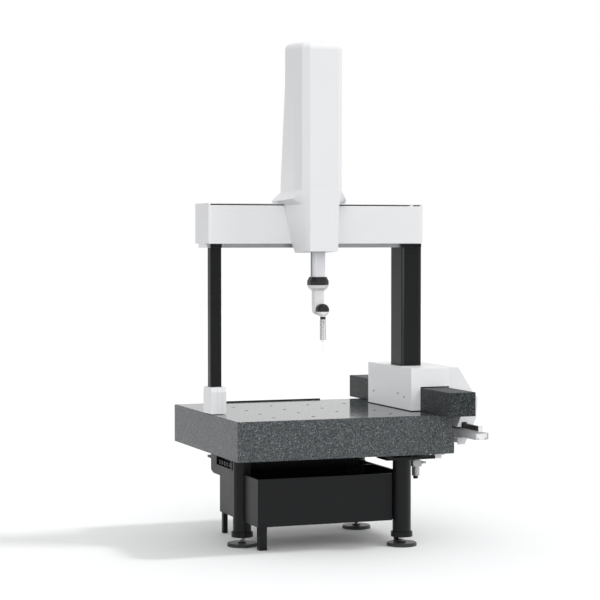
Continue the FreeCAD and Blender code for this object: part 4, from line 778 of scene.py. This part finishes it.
def addThread(settings, x, y):
    half = settings["pitch"] / 2.0
    thread = addRod((x, y, settings["start"]), half, settings["radius"], "z", settings["sides"])

    def grow():
        for step in range(settings["turns"] * 2):
            share = settings["root"] if step % 2 == 0 else 1.0 / settings["root"]
            pushFaces(millimetres((0.0, 0.0, half)))
            bpy.ops.transform.resize(value=(share, share, 1.0), center_override=millimetres((x, y, 0.0)))

    editFaces(thread, lambda centre, normal: normal.z > facingShare, grow)
    return thread


def addLegEdging(settings):
    start = (*settings["leg"], settings["start"])
    sleeve = addRod(start, settings["height"], settings["radius"], "z", settings["sides"], ends="NOTHING")
    thicken(sleeve, settings["wall"])
    roundEdges(sleeve, settings["edge"])
    fitted([sleeve], "leg_edging", "belt_rubber", "base")


threads = [addThread(footThreads, x, y) for x, y in footThreads["legs"]]
fitted(threads, "foot_threads", "bright_steel", "base")
addLegEdging(legEdging)
print("leg fittings set")


# collars of the threaded bushes in the table's top, in the inserts' near-black: painted shade of the bush holes

bushCollars = {
    "columns": (-427.5, -227.5, -27.5, 172.5),
    "rows": (-371.0, -171.0, 29.0, 229.0),
    "low": 641.72,
    "height": 0.78,
    "radius": 7.9,
    "wall": 2.9,
    "sides": 32,
    "edge": 0.2,
}


def addBushCollars(settings):
    places = [(x, y, settings["low"]) for y in settings["rows"] for x in settings["columns"]]
    collar = addRod(places[0], settings["height"], settings["radius"], "z", settings["sides"],
                    ends="NOTHING")
    thicken(collar, settings["wall"])
    roundEdges(collar, settings["edge"])
    collars = [collar, *copiedTo(collar, places[0], places[1:])]
    fitted(collars, "bush_collars", "insert_steel_painted_shade", "base")


addBushCollars(bushCollars)
print("bush collars set")


# air line fittings beside the filter

airLine = {
    "centre": (-280.0, 385.0),  # y and z of the line
    "edge": 0.6,
    "steps": [  # start, length, radius and sides, first to the left and then to the right
        (316.4, -9.0, 8.4, 6), (307.4, -3.0, 6.6, 28), (304.4, -3.4, 5.2, 28),
        (380.6, 9.0, 8.4, 6), (389.6, 3.0, 6.6, 28), (392.6, 8.0, 5.2, 28), (400.6, 2.4, 6.0, 28),
    ],
}


def addAirLine(settings):
    parts = []
    for x, length, radius, sides in settings["steps"]:
        part = addRod((x, *settings["centre"]), length, radius, "x", sides)
        roundEdges(part, settings["edge"])
        parts.append(part)
    piece = fitted(parts, "air_line_fittings", "bright_steel", "base")
    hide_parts("air_fittings")


addAirLine(airLine)
print("air line fittings set")


# seams of the left foot's cover, strips in the right column's slots and the scale on the ram

footSeams = {
    "places": [((-626.6, -124.3, 652.0), (-625.8, -123.8, 764.0)),
               ((-604.4, -124.3, 652.0), (-603.6, -123.8, 764.0))],
    "edge": 0.04,
}

# the strips sit in the slots; their lighter black is a painted highlight along the column's edges
columnStrips = {
    "places": [((350.5, -106.7, 850.5), (361.5, -105.9, 1446.8)),
               ((442.0, -106.7, 850.5), (444.5, -105.9, 1446.8))],
    "border": 0.8,
    "sink": 0.3,
    "edge": 0.04,
}

ramScale = {
    "places": [((-179.46, -231.0, 1308.0), (-179.3, -210.0, 2230.0))],
    "edge": 0.04,
}

fitted(addPlates(footSeams), "left_foot_seams", "grey_aluminium", "bridge")
fitted(addPlates(columnStrips), "column_slot_strips", "strip_black_painted_highlight", "bridge")
fitted(addPlates(ramScale), "ram_scale", "scale_grey", "ram")
print("slot strips set")


# lamp and rails of the sensor

sensorLamp = {
    "place": (-151.8, -316.9, 1090.0),
    "radius": 2.4,
    "height": 1.0,
    "sides": 28,
    "border": 0.8,
    "sink": 0.4,
    "edge": 0.2,
}

sensorRails = {
    "places": [(-163.0, -308.6), (-140.6, -308.6), (-163.0, -297.4), (-140.6, -297.4)],
    "low": 1003.0,
    "length": 97.0,
    "radius": 2.4,
    "sides": 20,
    "edge": 0.6,
}


def addSensorLamp(settings):
    lamp = addRod(settings["place"], -settings["height"], settings["radius"], "y", settings["sides"])
    sinkPanel(lamp, frontward, settings["border"], settings["sink"])
    roundEdges(lamp, settings["edge"])
    fitted([lamp], "sensor_lamp", "motor_black", "wrist")


def addSensorRails(settings):
    rails = []
    for x, y in settings["places"]:
        start = (x, y, settings["low"])
        rail = addRod(start, settings["length"], settings["radius"], "z", settings["sides"])
        roundEdges(rail, settings["edge"])
        rails.append(rail)
    fitted(rails, "sensor_rails", "probe_black", "wrist")


addSensorLamp(sensorLamp)
addSensorRails(sensorRails)
print("sensor lamp and rails set")


# studio: pale floor, a sun at the right whose shadow falls left, a broad lamp in front and an even sky

floorSettings = {
    "size": 60.0,
    "below": 0.0005,
    "colour": (0.93, 0.935, 0.94),
    "bounce": (0.4, 0.402, 0.405),  # what the floor throws back on the machine
    "shade": 0.995,
    "cloudScale": 3.0,
    "cloud": {"Detail": 4.0},
    "rough": 0.8,
    "specular": 0.1,
}

lampSettings = {
    "sun_lamp": {"place": (3.0, -2.0, 4.0), "strength": 1.05, "angle": 8.5, "height": 52.0, "turn": -24.0},
    "front_lamp": {"place": (-1.0, -4.0, 3.0), "strength": 0.72, "angle": 50.0, "height": 22.0,
                   "turn": -108.0},
}

skySettings = {
    "horizon": 1.21,
    "zenith": 0.62,
    "background": 1.0,
    "glossSide": (0.8, 0.55, 0.2),  # gloss shows a studio that grows brighter towards this side
    "glossReach": (-0.24, 0.85),
    "glossLevels": (0.03, 0.95),
}


def seenBy(tree, *rays):
    path = tree.nodes.new("ShaderNodeLightPath")
    seen = path.outputs[rays[0]]
    for ray in rays[1:]:
        seen = calculate(tree, "MAXIMUM", seen, path.outputs[ray])
    return seen


def addFloor(settings):
    startFresh()
    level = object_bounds()[0].z - settings["below"]
    bpy.ops.mesh.primitive_plane_add(size=settings["size"], location=(0.0, 0.0, level))
    floor = bpy.context.object
    floor.name = "studio_floor"
    material, tree, shader = newMaterial("studio_floor")
    cloud = addNoise(tree, objectPlace(tree), settings["cloudScale"], **settings["cloud"])
    tone = mixed(tree, "RGBA", cloud["Fac"], *shades(settings["colour"], settings["shade"], 1.0))
    seen = seenBy(tree, "Is Camera Ray", "Is Glossy Ray", "Is Transmission Ray")
    tree.links.new(mixed(tree, "RGBA", seen, settings["bounce"], tone), shader.inputs["Base Color"])
    shader.inputs["Roughness"].default_value = settings["rough"]
    shader.inputs["Specular IOR Level"].default_value = settings["specular"]
    floor.data.materials.append(material)
    floor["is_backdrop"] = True


def addLamps(lamps):
    for name, settings in lamps.items():
        tilt = math.radians(90.0 - settings["height"])
        turn = math.radians(settings["turn"])
        bpy.ops.object.light_add(type="SUN", location=settings["place"], rotation=(0.0, tilt, turn))
        lamp = bpy.context.object
        lamp.name = name
        lamp.data.energy = settings["strength"]
        lamp.data.angle = math.radians(settings["angle"])
        lamp.visible_glossy = False  # gloss comes from the studio round the machine, not from the lamps


def addSky(settings):
    world = bpy.data.worlds.new("studio")
    bpy.context.scene.world = world
    world.use_nodes = True
    tree = world.node_tree
    tree.nodes.clear()
    output = tree.nodes.new("ShaderNodeOutputWorld")
    background = tree.nodes.new("ShaderNodeBackground")
    direction = tree.nodes.new("ShaderNodeTexCoord").outputs["Generated"]

    def toward(vector, reach, levels):
        product = tree.nodes.new("ShaderNodeVectorMath")
        product.operation = "DOT_PRODUCT"
        tree.links.new(direction, product.inputs[0])
        product.inputs[1].default_value = Vector(vector).normalized()
        return mapRange(tree, product.outputs["Value"], *reach, *levels)

    dome = toward(upward, (0.0, 1.0), (settings["horizon"], settings["zenith"]))
    mirrored = toward(settings["glossSide"], settings["glossReach"], settings["glossLevels"])
    light = mixed(tree, "FLOAT", seenBy(tree, "Is Glossy Ray"), dome, mirrored)
    seen = seenBy(tree, "Is Camera Ray", "Is Transmission Ray")
    light = mixed(tree, "FLOAT", seen, light, settings["background"])
    tree.links.new(light, background.inputs["Strength"])
    background.inputs["Color"].default_value = (1.0, 1.0, 1.0, 1.0)
    tree.links.new(background.outputs[0], output.inputs["Surface"])


addFloor(floorSettings)
addLamps(lampSettings)
addSky(skySettings)
print("studio set")

bpy.context.scene.view_settings.view_transform = "Standard"
